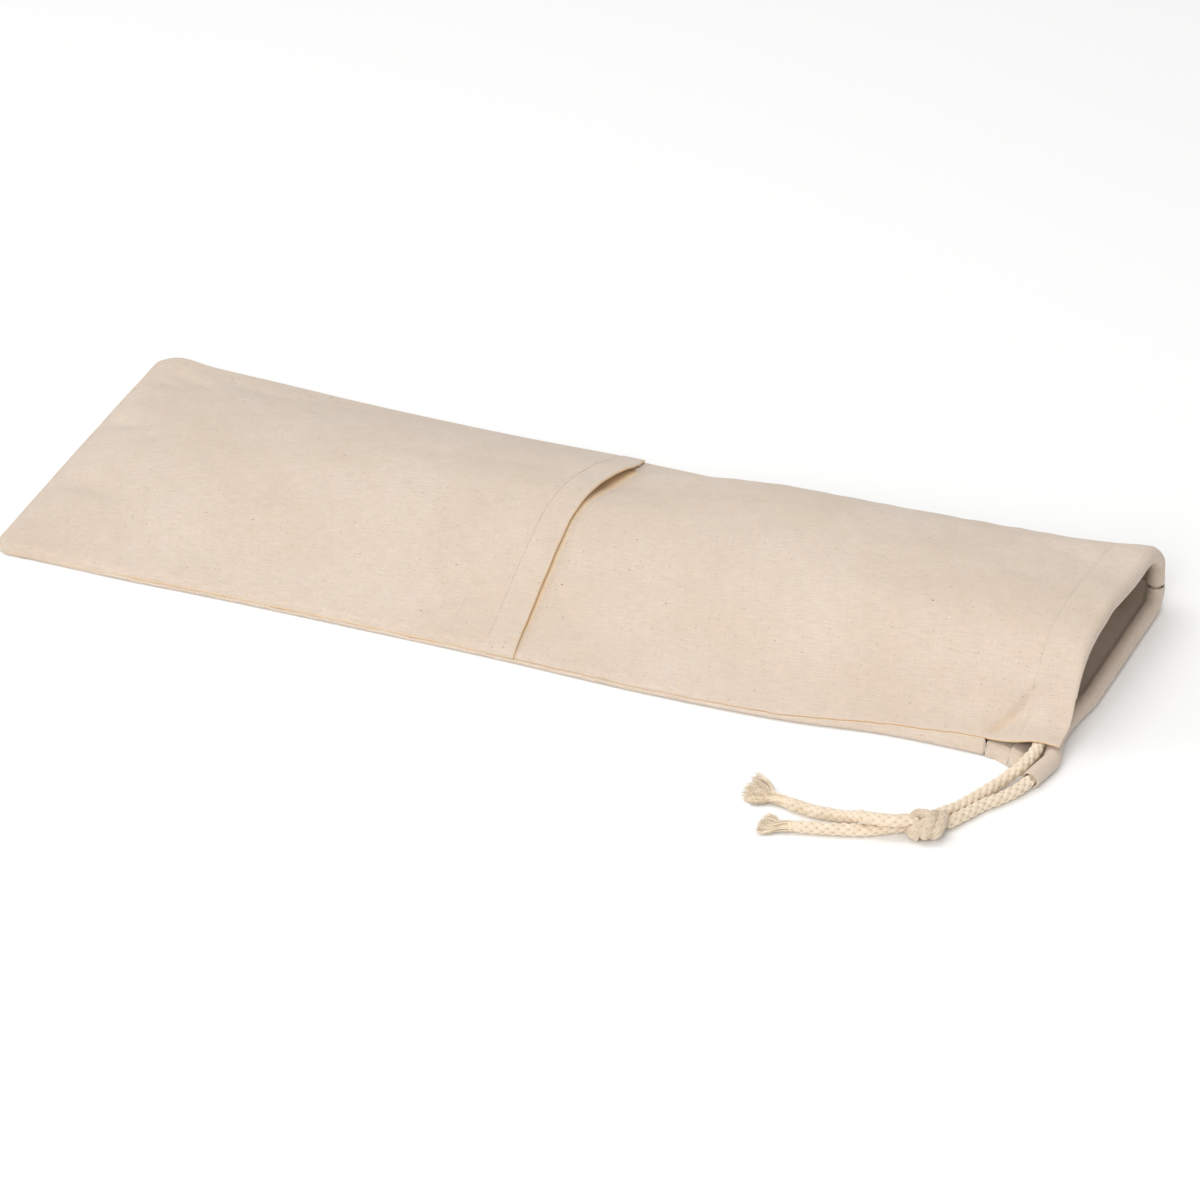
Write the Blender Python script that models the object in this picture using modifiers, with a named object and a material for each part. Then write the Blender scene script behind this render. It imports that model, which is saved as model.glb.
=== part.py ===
"""A cotton bread bag with an outer pocket and a drawcord, lying on its back.

The bag lies along X with its closed end at -X and its open mouth at +X.  Its near side seam is at -Y
and its far side seam at +Y.  The cloth keeps the shape that long loaves give it: nearly flat at the
closed end, and arched over two round backs at the mouth.  The origin is at the bottom centre of the
cloth, on the surface that the bag lies on.

All lengths are in metres.  Tables measure "at" along the bag, from a line 4 mm outside the closed
end, and "y" from the line of the near side, before everything is moved to the origin.
"""

import math

import bmesh
import bpy
import numpy as np
from mathutils import Vector

# ---------------------------------------------------------------- driving sizes

CLOSED_END = 0.0040          # where the cloth begins
BAG_LENGTH = 0.7200          # where the mouth is
CLOTH_WIDTH = 0.2645         # side seam to side seam, laid flat
CLOTH = 0.0012               # thickness of one layer of cloth, as a solid
GAP = 0.0003                 # clearance between pieces that touch
ORIGIN_X = 0.3625            # the cloth's middle along the bag
ORIGIN_Y = 0.1241            # and across it

LIP_CLEAR = 0.0016           # from the tip of the back's near lip to the front's edge, across
HEM_DEPTH = 0.028            # depth of the drawstring hem at the mouth
SLIT_START = 0.6700          # where the near seam stops and the slit for the cord begins
POCKET_EDGE = 0.3575         # the pocket's opening edge, from the closed end
END_CORNER = 0.010           # radius of the two corners at the closed end

CORD_DIAMETER = 0.0075
CORD_RADIUS = CORD_DIAMETER / 2
CORD_IN_HEM = 0.7145         # where the cord runs inside the hem
CORD_AT_SLIT = 0.7036        # where it runs in the front's hem, near the slit
HEM_CENTRE = 0.0048          # the cord's middle below the hem's outer layer
CORD_SIDES = 3               # bevel resolution of the cord's round section

# Sections across the front cloth, at its middle surface, from the near seam over the top to the far
# seam.  "fold" is where the back cloth turns up at the near side.
SECTION_COLUMNS = ("at", "fold", "near", "foot", "rise", "crest", "top", "back", "brow", "fall", "far")
SECTIONS = (
    (0.0040, -0.0010, (-0.0005, 0.0021), (0.0320, 0.0021), (0.0700, 0.0021), (0.1030, 0.0021),
     (0.1320, 0.0021), (0.1680, 0.0021), (0.2060, 0.0021), (0.2380, 0.0021), (0.2620, 0.0021)),
    (0.0150, -0.0020, (-0.0005, 0.0031), (0.0320, 0.0052), (0.0700, 0.0074), (0.1030, 0.0084),
     (0.1320, 0.0087), (0.1680, 0.0083), (0.2060, 0.0067), (0.2380, 0.0048), (0.2605, 0.0033)),
    (0.0400, -0.0020, (-0.0006, 0.0029), (0.0320, 0.0088), (0.0700, 0.0142), (0.1030, 0.0168),
     (0.1320, 0.0176), (0.1680, 0.0164), (0.2050, 0.0122), (0.2350, 0.0074), (0.2570, 0.0036)),
    (0.0900, -0.0024, (-0.0008, 0.0029), (0.0325, 0.0112), (0.0700, 0.0202), (0.1030, 0.0252),
     (0.1320, 0.0266), (0.1670, 0.0246), (0.2030, 0.0180), (0.2320, 0.0098), (0.2535, 0.0040)),
    (0.1500, -0.0010, (0.0006, 0.0029), (0.0330, 0.0128), (0.0700, 0.0246), (0.1030, 0.0320),
     (0.1320, 0.0342), (0.1660, 0.0312), (0.2000, 0.0226), (0.2280, 0.0122), (0.2495, 0.0043)),
    (0.2500, -0.0008, (0.0008, 0.0029), (0.0330, 0.0142), (0.0700, 0.0282), (0.1030, 0.0378),
     (0.1320, 0.0412), (0.1650, 0.0366), (0.1980, 0.0276), (0.2250, 0.0158), (0.2470, 0.0045)),
    (0.3575, -0.0018, (-0.0002, 0.0030), (0.0330, 0.0128), (0.0670, 0.0282), (0.1000, 0.0410),
     (0.1260, 0.0450), (0.1640, 0.0366), (0.1960, 0.0305), (0.2220, 0.0175), (0.2480, 0.0048)),
    (0.4500, -0.0046, (-0.0030, 0.0034), (0.0310, 0.0160), (0.0640, 0.0326), (0.0960, 0.0456),
     (0.1290, 0.0505), (0.1660, 0.0480), (0.2040, 0.0372), (0.2300, 0.0182), (0.2435, 0.0062)),
    (0.5500, -0.0016, (0.0002, 0.0042), (0.0290, 0.0170), (0.0530, 0.0366), (0.0800, 0.0512),
     (0.1150, 0.0576), (0.1600, 0.0552), (0.2010, 0.0418), (0.2260, 0.0220), (0.2370, 0.0080)),
    (0.6100, 0.0060, (0.0088, 0.0068), (0.0320, 0.0168), (0.0500, 0.0370), (0.0730, 0.0532),
     (0.1060, 0.0602), (0.1550, 0.0570), (0.2000, 0.0440), (0.2240, 0.0250), (0.2320, 0.0100)),
    (0.6600, 0.0068, (0.0120, 0.0092), (0.0335, 0.0168), (0.0490, 0.0374), (0.0690, 0.0548),
     (0.1000, 0.0614), (0.1510, 0.0576), (0.1990, 0.0466), (0.2180, 0.0290), (0.2230, 0.0140)),
    (0.6900, 0.0060, (0.0108, 0.0118), (0.0330, 0.0176), (0.0482, 0.0386), (0.0680, 0.0562),
     (0.1000, 0.0618), (0.1500, 0.0576), (0.2000, 0.0484), (0.2160, 0.0320), (0.2180, 0.0170)),
    (0.7050, 0.0060, (0.0124, 0.0146), (0.0330, 0.0186), (0.0476, 0.0390), (0.0672, 0.0572),
     (0.1000, 0.0622), (0.1500, 0.0576), (0.2020, 0.0490), (0.2160, 0.0340), (0.2160, 0.0190)),
    (0.7200, 0.0060, (0.0140, 0.0128), (0.0335, 0.0172), (0.0470, 0.0388), (0.0670, 0.0574),
     (0.1000, 0.0622), (0.1500, 0.0574), (0.2030, 0.0492), (0.2150, 0.0350), (0.2150, 0.0190)),
)

# How far the pocket's opening edge stands off the front cloth, along the width (0 near, 1 far).
POCKET_LIFT_COLUMNS = ("along", "lift")
POCKET_LIFT = ((0.00, 0.0002), (0.08, 0.0012), (0.18, 0.0022), (0.30, 0.0024), (0.40, 0.0016),
               (0.48, 0.0020), (0.55, 0.0046), (0.61, 0.0068), (0.67, 0.0073), (0.72, 0.0060),
               (0.77, 0.0032), (0.82, 0.0012), (0.90, 0.0005), (1.00, 0.0004))
POCKET_LIFT_START = 0.25     # where the pocket begins to lift, from the closed end

# Where the pocket's opening edge lies along the bag, at places along the width.
POCKET_LINE_COLUMNS = ("along", "at")
POCKET_LINE = ((0.00, 0.3630), (0.06, 0.3620), (0.13, 0.3608), (0.22, 0.3604), (0.31, 0.3602),
               (0.38, 0.3597), (0.43, 0.3592), (0.49, 0.3603), (0.55, 0.3616), (0.62, 0.3628),
               (0.68, 0.3642), (0.73, 0.3662), (0.77, 0.3674), (0.80, 0.3650), (0.84, 0.3612),
               (0.90, 0.3592), (1.00, 0.3585))
POCKET_LINE_START = 0.31     # where the pocket's rows begin to follow that line

# Soft troughs in the front of the bag: their two ends, as distances from the closed end and across
# the cloth, with their depth and half width.
TROUGH_COLUMNS = ("at_0", "across_0", "at_1", "across_1", "depth", "half_width")
TROUGHS = (
    (0.002, 0.236, 0.050, 0.218, 0.0024, 0.010),
    (0.003, 0.168, 0.036, 0.160, 0.0022, 0.010),
    (0.004, 0.082, 0.062, 0.070, 0.0024, 0.011),
    (0.125, 0.020, 0.150, 0.038, 0.0010, 0.008),
    (0.676, 0.014, 0.700, 0.046, 0.0022, 0.007),
)

# The back cloth's near edge past the seam, where the slit lets it spread out on the surface, and how
# far its hem leans along the bag there.
SLIT_EDGE_COLUMNS = ("at", "y")
SLIT_EDGE = ((0.6720, 0.0086), (0.6750, 0.0078), (0.6848, 0.0036), (0.6944, -0.0011),
             (0.7010, -0.0048), (0.7060, -0.0092), (0.7090, -0.0146), (0.7120, -0.0168),
             (0.7200, -0.0176))
HEM_LEAN_COLUMNS = ("y", "lean")
HEM_LEAN = ((-0.0300, -0.0070), (-0.0200, -0.0042), (-0.0130, -0.0020), (-0.0030, 0.0012),
            (0.0075, 0.0018), (0.0170, 0.0), (0.0300, -0.0034), (0.0480, -0.0042), (0.0850, 0.0))

# The hem's own section: how it runs out in the outer layer, turns round the cord and comes back to
# the stitching.  "depth" is from the outer layer's middle surface.  The "slit" columns hold in the
# front's hem near the slit, where its cord passes beside the back's.
HEM_COLUMNS = ("at", "depth", "slit_at", "slit_depth")
HEM = (
    (0.6900, 0.0, 0.6900, 0.0),
    (0.6955, 0.0, 0.6955, 0.0),
    (0.7010, 0.0, 0.7010, 0.0),
    (0.7060, 0.0, 0.7070, 0.0),
    (0.7110, 0.0, 0.7130, 0.0),
    (0.7158, 0.0, 0.7184, 0.0),
    (0.7184, 0.00135, 0.71925, 0.00045),
    (0.7198, 0.0048, 0.71925, 0.00135),
    (0.7195, 0.0066, 0.7184, 0.0018),
    (0.7184, 0.0083, 0.7096, 0.0026),
    (0.7175, 0.0092, 0.7086, 0.0060),
    (0.7162, 0.00985, 0.7070, 0.0088),
    (0.7128, 0.00985, 0.7032, 0.0100),
    (0.7106, 0.0083, 0.6999, 0.0088),
    (0.7092, 0.0050, 0.6981, 0.0056),
    (0.7070, 0.0028, 0.6964, 0.0028),
    (0.7030, 0.0020, 0.6945, 0.0020),
    (0.6965, 0.0018, 0.6925, 0.0018),
    (0.6900, 0.0017, 0.6900, 0.0017),
)
FRONT_SHARES = ((0.0, 0.040, 0.075, 0.100, 0.120, 0.140, 0.160, 0.180, 0.205, 0.235, 0.270)
                + tuple(0.270 + 0.730 * k / 18 for k in range(1, 19)))    # the front's lines of points
FAR_EASE = 0.15              # how much deeper the back's hem gets where the front's cord comes in
HEM_OUTER_ROWS = 6           # rows of HEM that lie in the outer layer
TUNNEL_STARTS = 0.14         # the front hem's tunnel begins here, along the width
CORD_MOVED_OVER = 0.34       # and here its cord has moved over to the hem's usual place

# Routes of the cord's free stretches: middle line, hand placed, from the bag to the knot and on.
ROUTE_COLUMNS = ("at", "y", "z")
ROUTE_FRONT = ((0.7036, 0.0378, 0.0156), (0.7036, 0.0342, 0.0124), (0.7037, 0.0300, 0.0113),
               (0.7044, 0.0220, 0.0106), (0.7056, 0.0140, 0.0100),
               (0.7056, 0.0070, 0.0096), (0.7044, -0.0008, 0.0091), (0.7024, -0.0097, 0.0080),
               (0.6986, -0.0175, 0.0062), (0.6940, -0.0270, 0.0045), (0.6884, -0.0400, 0.0039),
               (0.6838, -0.0520, 0.0039), (0.6792, -0.0640, 0.0050), (0.6762, -0.0712, 0.0066),
               (0.6750, -0.0736, 0.0070))
ROUTE_BACK = ((0.7112, -0.0178, 0.0054), (0.7096, -0.0230, 0.0047), (0.7060, -0.0310, 0.0041),
              (0.7005, -0.0411, 0.0039), (0.6932, -0.0522, 0.0039), (0.6884, -0.0632, 0.0041),
              (0.6851, -0.0704, 0.0043), (0.6820, -0.0768, 0.0043))
ROUTE_UPPER = ((0.6616, -0.0955, 0.0116), (0.6542, -0.0997, 0.0119), (0.6483, -0.1014, 0.0121),
               (0.6424, -0.1026, 0.0122), (0.6366, -0.1034, 0.0121), (0.6334, -0.1020, 0.0114),
               (0.6286, -0.0993, 0.0084), (0.6212, -0.0970, 0.0052), (0.6109, -0.0960, 0.0039),
               (0.6046, -0.0965, 0.0039), (0.5980, -0.0963, 0.0039), (0.5911, -0.0952, 0.0039),
               (0.5841, -0.0938, 0.0039), (0.5800, -0.0927, 0.0039))
ROUTE_LOWER = ((0.6606, -0.0908, 0.0044), (0.6525, -0.0947, 0.0039), (0.6472, -0.0982, 0.0039),
               (0.6420, -0.1016, 0.0039), (0.6365, -0.1046, 0.0039), (0.6309, -0.1068, 0.0039),
               (0.6252, -0.1086, 0.0039), (0.6167, -0.1112, 0.0039), (0.6108, -0.1128, 0.0039),
               (0.6049, -0.1142, 0.0039), (0.5990, -0.1159, 0.0039), (0.5940, -0.1172, 0.0039))

# The knot: the two strands' turns that show, as short routes with their own radius.
BAND_COLUMNS = ("radius", "points")
KNOT_BANDS = (
    (0.0036, ((0.6612, -0.0868, 0.0062), (0.6628, -0.0857, 0.0090), (0.6671, -0.0854, 0.0106),
              (0.6730, -0.0880, 0.0112))),
    (0.0036, ((0.6735, -0.0925, 0.0110), (0.6692, -0.0970, 0.0090), (0.6655, -0.0985, 0.0058),
              (0.6700, -0.0980, 0.0040))),
    (0.0036, ((0.6725, -0.0800, 0.0080), (0.6738, -0.0855, 0.0112), (0.6745, -0.0930, 0.0112),
              (0.6735, -0.0990, 0.0070), (0.6720, -0.0950, 0.0040))),
    (0.0036, ((0.6750, -0.0775, 0.0060), (0.6785, -0.0820, 0.0098), (0.6800, -0.0890, 0.0100),
              (0.6785, -0.0955, 0.0066), (0.6740, -0.0930, 0.0040))),
    (0.0040, ((0.6640, -0.0900, 0.0050), (0.6700, -0.0890, 0.0062), (0.6770, -0.0860, 0.0050))),
)
KNOT_GRAIN = 0.0016          # how finely the knot's bands are worked into one piece

# The frayed ends: each lock's tip and the way it bows, with its root and tip radius.
LOCK_COLUMNS = ("tip_at", "tip_y", "bow")
FRAY_UPPER_ROOT = (0.5768, -0.0918, 0.0038)
FRAY_UPPER_LOCKS = ((0.5512, -0.0640, 0.0020), (0.5505, -0.0712, 0.0014), (0.5505, -0.0790, 0.0008),
                    (0.5503, -0.0857, 0.0), (0.5528, -0.0950, -0.0010), (0.5600, -0.0985, -0.0010))
FRAY_LOWER_ROOT = (0.5908, -0.1181, 0.0038)
FRAY_LOWER_LOCKS = ((0.5740, -0.1045, 0.0010), (0.5722, -0.1110, 0.0008), (0.5724, -0.1174, 0.0),
                    (0.5738, -0.1236, -0.0008), (0.5748, -0.1290, -0.0012))
LOCK_RADII = (0.0015, 0.0008)

COTTON = (0.79, 0.66, 0.51, 1.0)
CORD_COTTON = (0.74, 0.60, 0.44, 1.0)


# ---------------------------------------------------------------- small tools

def clear_scene():
    for thing in list(bpy.data.objects):
        bpy.data.objects.remove(thing, do_unlink=True)


def make_collection(name):
    group = bpy.data.collections.new(name)
    bpy.context.scene.collection.children.link(group)
    return group


def make_material(name, colour, roughness):
    material = bpy.data.materials.new(name)
    material.use_nodes = True
    shader = material.node_tree.nodes["Principled BSDF"]
    shader.inputs["Base Color"].default_value = colour
    shader.inputs["Roughness"].default_value = roughness
    shader.inputs["Metallic"].default_value = 0.0
    return material


def smooth_step(t):
    t = min(max(t, 0.0), 1.0)
    return t * t * (3.0 - 2.0 * t)


def smooth_curve(knots, values, at):
    """Read a smooth curve through values at knots, at one place or at many."""
    knots = np.asarray(knots, float)
    values = np.asarray(values, float)
    at = np.clip(np.atleast_1d(np.asarray(at, float)), knots[0], knots[-1])
    steps = np.diff(knots)
    slopes = np.diff(values, axis=0) / steps.reshape((-1,) + (1,) * (values.ndim - 1))
    tangents = np.empty_like(values)
    tangents[0], tangents[-1] = slopes[0], slopes[-1]
    for k in range(1, len(knots) - 1):
        before, after = steps[k - 1], steps[k]
        tangents[k] = (slopes[k - 1] * after + slopes[k] * before) / (before + after)
    cell = np.clip(np.searchsorted(knots, at, side="right") - 1, 0, len(steps) - 1)
    t = (at - knots[cell]) / steps[cell]
    shape = (-1,) + (1,) * (values.ndim - 1)
    t, h = t.reshape(shape), steps[cell].reshape(shape)
    return ((2 * t**3 - 3 * t**2 + 1) * values[cell] + (t**3 - 2 * t**2 + t) * h * tangents[cell]
            + (3 * t**2 - 2 * t**3) * values[cell + 1] + (t**3 - t**2) * h * tangents[cell + 1])


def placed(at, y, z):
    """Turn a distance from the closed end and from the near side line into the part's own frame."""
    return Vector((at - ORIGIN_X, y - ORIGIN_Y, z))


# ---------------------------------------------------------------- the cloth's shape

STATIONS = np.array([row[0] for row in SECTIONS])
FOLDS = np.array([row[1] for row in SECTIONS])
POINTS = np.array([row[2:] for row in SECTIONS])
section_lines = {}


def section_points(at):
    return smooth_curve(STATIONS, POINTS, at)[0]


def section_line(at):
    """The front cloth's curve across the bag at one station, with its length as shares from 0 to 1."""
    key = round(at, 6)
    if key not in section_lines:
        points = section_points(at)
        chords = np.linalg.norm(np.diff(points, axis=0), axis=1)
        knots = np.concatenate(([0.0], np.cumsum(chords)))
        line = smooth_curve(knots, points, np.linspace(0.0, knots[-1], 181))
        lengths = np.concatenate(([0.0], np.cumsum(np.linalg.norm(np.diff(line, axis=0), axis=1))))
        section_lines[key] = (lengths / lengths[-1], line)
    return section_lines[key]


def trough_depth(at, across):
    """How far the soft troughs lower the cloth at a place on it."""
    total = 0.0
    for at_0, across_0, at_1, across_1, depth, half_width in TROUGHS:
        run = np.array((at_1 - at_0, across_1 - across_0))
        offset = np.array((at - at_0, across - across_0))
        t = min(max(float(offset @ run) / float(run @ run), 0.0), 1.0)
        away = float(np.linalg.norm(offset - t * run))
        fade = math.sin(math.pi * (0.12 + 0.76 * t))
        total += depth * fade * math.exp(-((away / half_width) ** 2))
    return total


def end_corner(at, across):
    """Pull the closed end's two corners in to their radius."""
    side = min(across, CLOTH_WIDTH - across)
    if side >= END_CORNER:
        return 0.0
    inset = END_CORNER * (1.0 - math.sqrt(max(0.0, 1.0 - (1.0 - side / END_CORNER) ** 2)))
    return inset * (1.0 - smooth_step(at / (4.0 * END_CORNER)))


def front(at, along):
    """A point of the front cloth's middle surface; along runs from 0 at the near seam to 1."""
    shares, line = section_line(at)
    y = float(np.interp(along, shares, line[:, 0]))
    z = float(np.interp(along, shares, line[:, 1]))
    across = along * CLOTH_WIDTH
    lowered = trough_depth(at, across) * smooth_step(at / 0.02)
    return Vector((at + end_corner(at - CLOSED_END, across), y, max(z - lowered, 0.0021)))


def front_normal(at, along):
    """The front cloth's outward direction."""
    step = 0.004
    low, high = max(at - step, CLOSED_END), min(at + step, BAG_LENGTH)
    near, far = max(along - 0.012, 0.0), min(along + 0.012, 1.0)
    run = front(high, along) - front(low, along)
    rise = front(at, far) - front(at, near)
    return run.cross(rise).normalized()


def pocket_gap(at, along):
    columns = np.array(POCKET_LIFT)
    lift = float(smooth_curve(columns[:, 0], columns[:, 1], along)[0])
    share = smooth_step((at - POCKET_LIFT_START) / (POCKET_EDGE - POCKET_LIFT_START))
    return CLOTH + 2.0 * GAP + max(lift, 0.0) * share


def pocket_at(at, along):
    """A pocket row's place along the bag: the last rows follow the line of its opening edge."""
    columns = np.array(POCKET_LINE)
    line = float(smooth_curve(columns[:, 0], columns[:, 1], along)[0])
    share = smooth_step((at - POCKET_LINE_START) / (POCKET_EDGE - POCKET_LINE_START))
    return at + (line - POCKET_EDGE) * share


def turned_up(height, radius, flat, steps):
    """A cloth edge turned up to height, from its tip to the surface, as offsets from the fold; flat
    from 0 to 1 lays it back down."""
    floor = CLOTH / 2
    arc = [(radius * (1.0 - math.cos(a)), floor + radius * (1.0 - math.sin(a)))
           for a in np.linspace(0.0, math.pi / 2, steps)]
    up = [(0.0, height)] + arc
    lengths = np.cumsum([0.0] + [math.dist(a, b) for a, b in zip(up, up[1:])])
    return [(u * (1.0 - flat) + (l - lengths[-1] + radius) * flat, v * (1.0 - flat) + floor * flat)
            for (u, v), l in zip(up, lengths)]


def back_section(at):
    """The back cloth's points across the bag: its near lip, the run on the surface and its far lip."""
    points = section_points(at)
    near, far = points[0], points[-1]
    floor = CLOTH / 2
    flat = 1.0 - smooth_step((at - CLOSED_END - 0.006) / 0.030)
    fold = float(smooth_curve(STATIONS, FOLDS, at)[0])
    near_tip = max(near[1] + 0.0002, 0.0034)
    near_lip = [(fold + u, v) for u, v in turned_up(near_tip, min(0.0022, near_tip - 0.0010), flat, 4)]
    reach = max(near[0] - LIP_CLEAR - fold, 0.0) * (1.0 - flat)
    near_lip[0] = (near_lip[0][0] + reach, near_lip[0][1])
    spread = smooth_step((at - SLIT_START) / 0.008)
    edge = float(smooth_curve(*np.array(SLIT_EDGE).T, at)[0])
    laid = [(edge + (0.014 - edge) * k / 4.0, floor) for k in range(5)]
    near_lip = [tuple((1 - spread) * np.array(a) + spread * np.array(b)) for a, b in zip(near_lip, laid)]
    end = far[0] + CLOTH + 2.0 * GAP
    far_tip = max(far[1] + 0.0010, 0.0036)
    far_curl = min(max(far_tip - 0.0030, 0.0022), 0.0165)
    far_lip = [(end - u, v) for u, v in turned_up(far_tip, far_curl, flat, 5)][::-1]
    start, stop = near_lip[-1][0], far_lip[0][0]
    run = [(start + (stop - start) * (k / 9.0) ** 1.3, floor) for k in range(1, 9)]
    return near_lip + run + far_lip


# ---------------------------------------------------------------- cloth solids

def shape_sheet(name, grid, material, group, keep=None):
    """A sheet: a primitive grid whose points move to the rows of grid, thickened to the cloth."""
    rows, columns = len(grid), len(grid[0])
    bpy.ops.mesh.primitive_grid_add(x_subdivisions=rows - 1, y_subdivisions=columns - 1, size=1.0)
    sheet = bpy.context.object
    sheet.name = sheet.data.name = name
    bm = bmesh.new()
    bm.from_mesh(sheet.data)
    places = {}
    for vert in bm.verts:
        row = round((vert.co.x + 0.5) * (rows - 1))
        column = round((vert.co.y + 0.5) * (columns - 1))
        places[vert] = (row, column)
        vert.co = grid[row][column]
    if keep is not None:
        spare = [face for face in bm.faces
                 if not keep(min(places[v][0] for v in face.verts), min(places[v][1] for v in face.verts))]
        bmesh.ops.delete(bm, geom=spare, context="FACES")
    bm.to_mesh(sheet.data)
    bm.free()
    sheet.data.shade_smooth()
    thicken = sheet.modifiers.new("thickness", "SOLIDIFY")
    thicken.thickness = CLOTH
    thicken.offset = 0.0
    sheet.data.materials.append(material)
    for owner in list(sheet.users_collection):
        owner.objects.unlink(sheet)
    group.objects.link(sheet)
    return sheet


def rows_along(start, stop, count):
    return [start + (stop - start) * k / (count - 1) for k in range(count)]


def pocket_rows():
    return [CLOSED_END + x for x in (0.0, 0.005, 0.012, 0.022)] + rows_along(0.036, POCKET_EDGE, 18)


def hem_place(row, over):
    """A hem row's place along the bag and depth; over is 0 at the slit and 1 in the usual hem."""
    at, depth, slit_at, slit_depth = HEM[row]
    return slit_at + (at - slit_at) * over, slit_depth + (depth - slit_depth) * over


def moved_over(along):
    return smooth_step((along - TUNNEL_STARTS) / (CORD_MOVED_OVER - TUNNEL_STARTS))


def make_front(material, group):
    rows = pocket_rows() + rows_along(POCKET_EDGE, SLIT_START, 16)[1:] + [0.680]
    shares = FRONT_SHARES
    grid = [[placed(*front(at, along)) for along in shares] for at in rows]
    for row in range(len(HEM)):
        line = []
        for along in shares:
            at, depth = hem_place(row, moved_over(along))
            line.append(placed(*(front(at, along) - front_normal(at, along) * depth)))
        grid.append(line)
    inner = len(rows) + HEM_OUTER_ROWS
    first = shares.index(TUNNEL_STARTS)
    return shape_sheet("front_panel", grid, material, group,
                       keep=lambda row, column: row < inner or column >= first)


def make_pocket(material, group):
    rows = pocket_rows()
    shares = FRONT_SHARES
    grid = []
    for row in rows:
        line = []
        for along in shares:
            at = pocket_at(row, along)
            line.append(placed(*(front(at, along) + front_normal(at, along) * pocket_gap(row, along))))
        grid.append(line)
    return shape_sheet("pocket_panel", grid, material, group)


def hem_lean(y):
    return float(smooth_curve(*np.array(HEM_LEAN).T, y)[0])


def make_back(material, group):
    rows = [CLOSED_END + x for x in (0.0, 0.006, 0.014, 0.028)] + rows_along(0.050, 0.650, 24)
    rows += [0.664, SLIT_START, 0.674, 0.678, 0.684]
    grid = []
    for at in rows:
        section = back_section(at)
        width = section[-1][0] - section[0][0]
        grid.append([placed(at + end_corner(at - CLOSED_END, CLOTH_WIDTH * (y - section[0][0]) / width),
                            y, z) for y, z in section])
    for row in range(len(HEM)):
        at, depth = hem_place(row, 1.0)
        section = back_section(at)
        line = []
        for k, (y, z) in enumerate(section):
            before, after = section[max(k - 1, 0)], section[min(k + 1, len(section) - 1)]
            along = np.array((after[0] - before[0], after[1] - before[1]))
            along /= np.linalg.norm(along)
            lean = hem_lean(y) * smooth_step((at - 0.690) / 0.018)
            deeper = 1.0 + FAR_EASE * smooth_step((k - len(section) + 5) / 3.0) * (depth > 0.004)
            line.append(placed(at + lean, y - along[1] * depth * deeper, z + along[0] * depth * deeper))
        grid.append(line)
    inner = len(rows) + HEM_OUTER_ROWS - 1
    last = len(grid[0]) - 2
    return shape_sheet("back_panel", grid, material, group,
                       keep=lambda row, column: row < inner or column < last)


# ---------------------------------------------------------------- the drawcord

def smooth_route(points, spacing):
    """Points at even distances along a smooth curve through the route's own points."""
    points = np.array(points, float)
    chords = np.linalg.norm(np.diff(points, axis=0), axis=1)
    knots = np.concatenate(([0.0], np.cumsum(chords)))
    line = smooth_curve(knots, points, np.linspace(0.0, knots[-1], 40 * len(points)))
    lengths = np.concatenate(([0.0], np.cumsum(np.linalg.norm(np.diff(line, axis=0), axis=1))))
    count = max(3, round(lengths[-1] / spacing) + 1)
    marks = np.linspace(0.0, lengths[-1], count)
    return [tuple(np.interp(mark, lengths, line[:, k]) for k in range(3)) for mark in marks]


def make_tube(name, points, radius, material, group, cyclic=False):
    data = bpy.data.curves.new(name, "CURVE")
    data.dimensions = "3D"
    data.bevel_depth = radius
    data.bevel_resolution = CORD_SIDES
    data.use_fill_caps = True
    spline = data.splines.new("POLY")
    spline.points.add(len(points) - 1)
    spline.use_cyclic_u = cyclic
    for point, place in zip(spline.points, points):
        point.co = (*placed(*place), 1.0)
    tube = bpy.data.objects.new(name, data)
    tube.data.materials.append(material)
    group.objects.link(tube)
    return tube


def hem_route():
    """The cord's middle line in the hem: over the front to the far seam and back along the back."""
    points = []
    shares = FRONT_SHARES
    for along in shares[shares.index(TUNNEL_STARTS) - 2:]:
        at = CORD_AT_SLIT + (CORD_IN_HEM - CORD_AT_SLIT) * moved_over(along)
        points.append(front(at, along) - front_normal(at, along) * HEM_CENTRE)
    section = back_section(CORD_IN_HEM)
    floor = CLOTH / 2 + HEM_CENTRE
    side = section[-1][0]
    radius = section[-2][1] - CLOTH / 2
    for angle, ease in ((22.5, 0.0008), (45.0, 0.0002), (67.5, 0.0), (90.0, 0.0)):
        reach = radius - HEM_CENTRE - ease
        points.append(Vector((CORD_IN_HEM, side - radius + reach * math.cos(math.radians(angle)),
                              CLOTH / 2 + radius - reach * math.sin(math.radians(angle)))))
    for y, _ in section[-7::-1]:
        y = max(float(y), -0.0162)
        points.append(Vector((CORD_IN_HEM + hem_lean(y), y, floor)))
    return [tuple(point) for point in points]


def make_cords(material, group):
    make_tube("cord_in_hem", hem_route(), CORD_RADIUS, material, group)
    for name, points, step in (("cord_front", ROUTE_FRONT, 1.1), ("cord_back", ROUTE_BACK, 2.0),
                               ("cord_tail_upper", ROUTE_UPPER, 1.5),
                               ("cord_tail_lower", ROUTE_LOWER, 1.5)):
        make_tube(name, smooth_route(points, step * CORD_DIAMETER), CORD_RADIUS, material, group)


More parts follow.
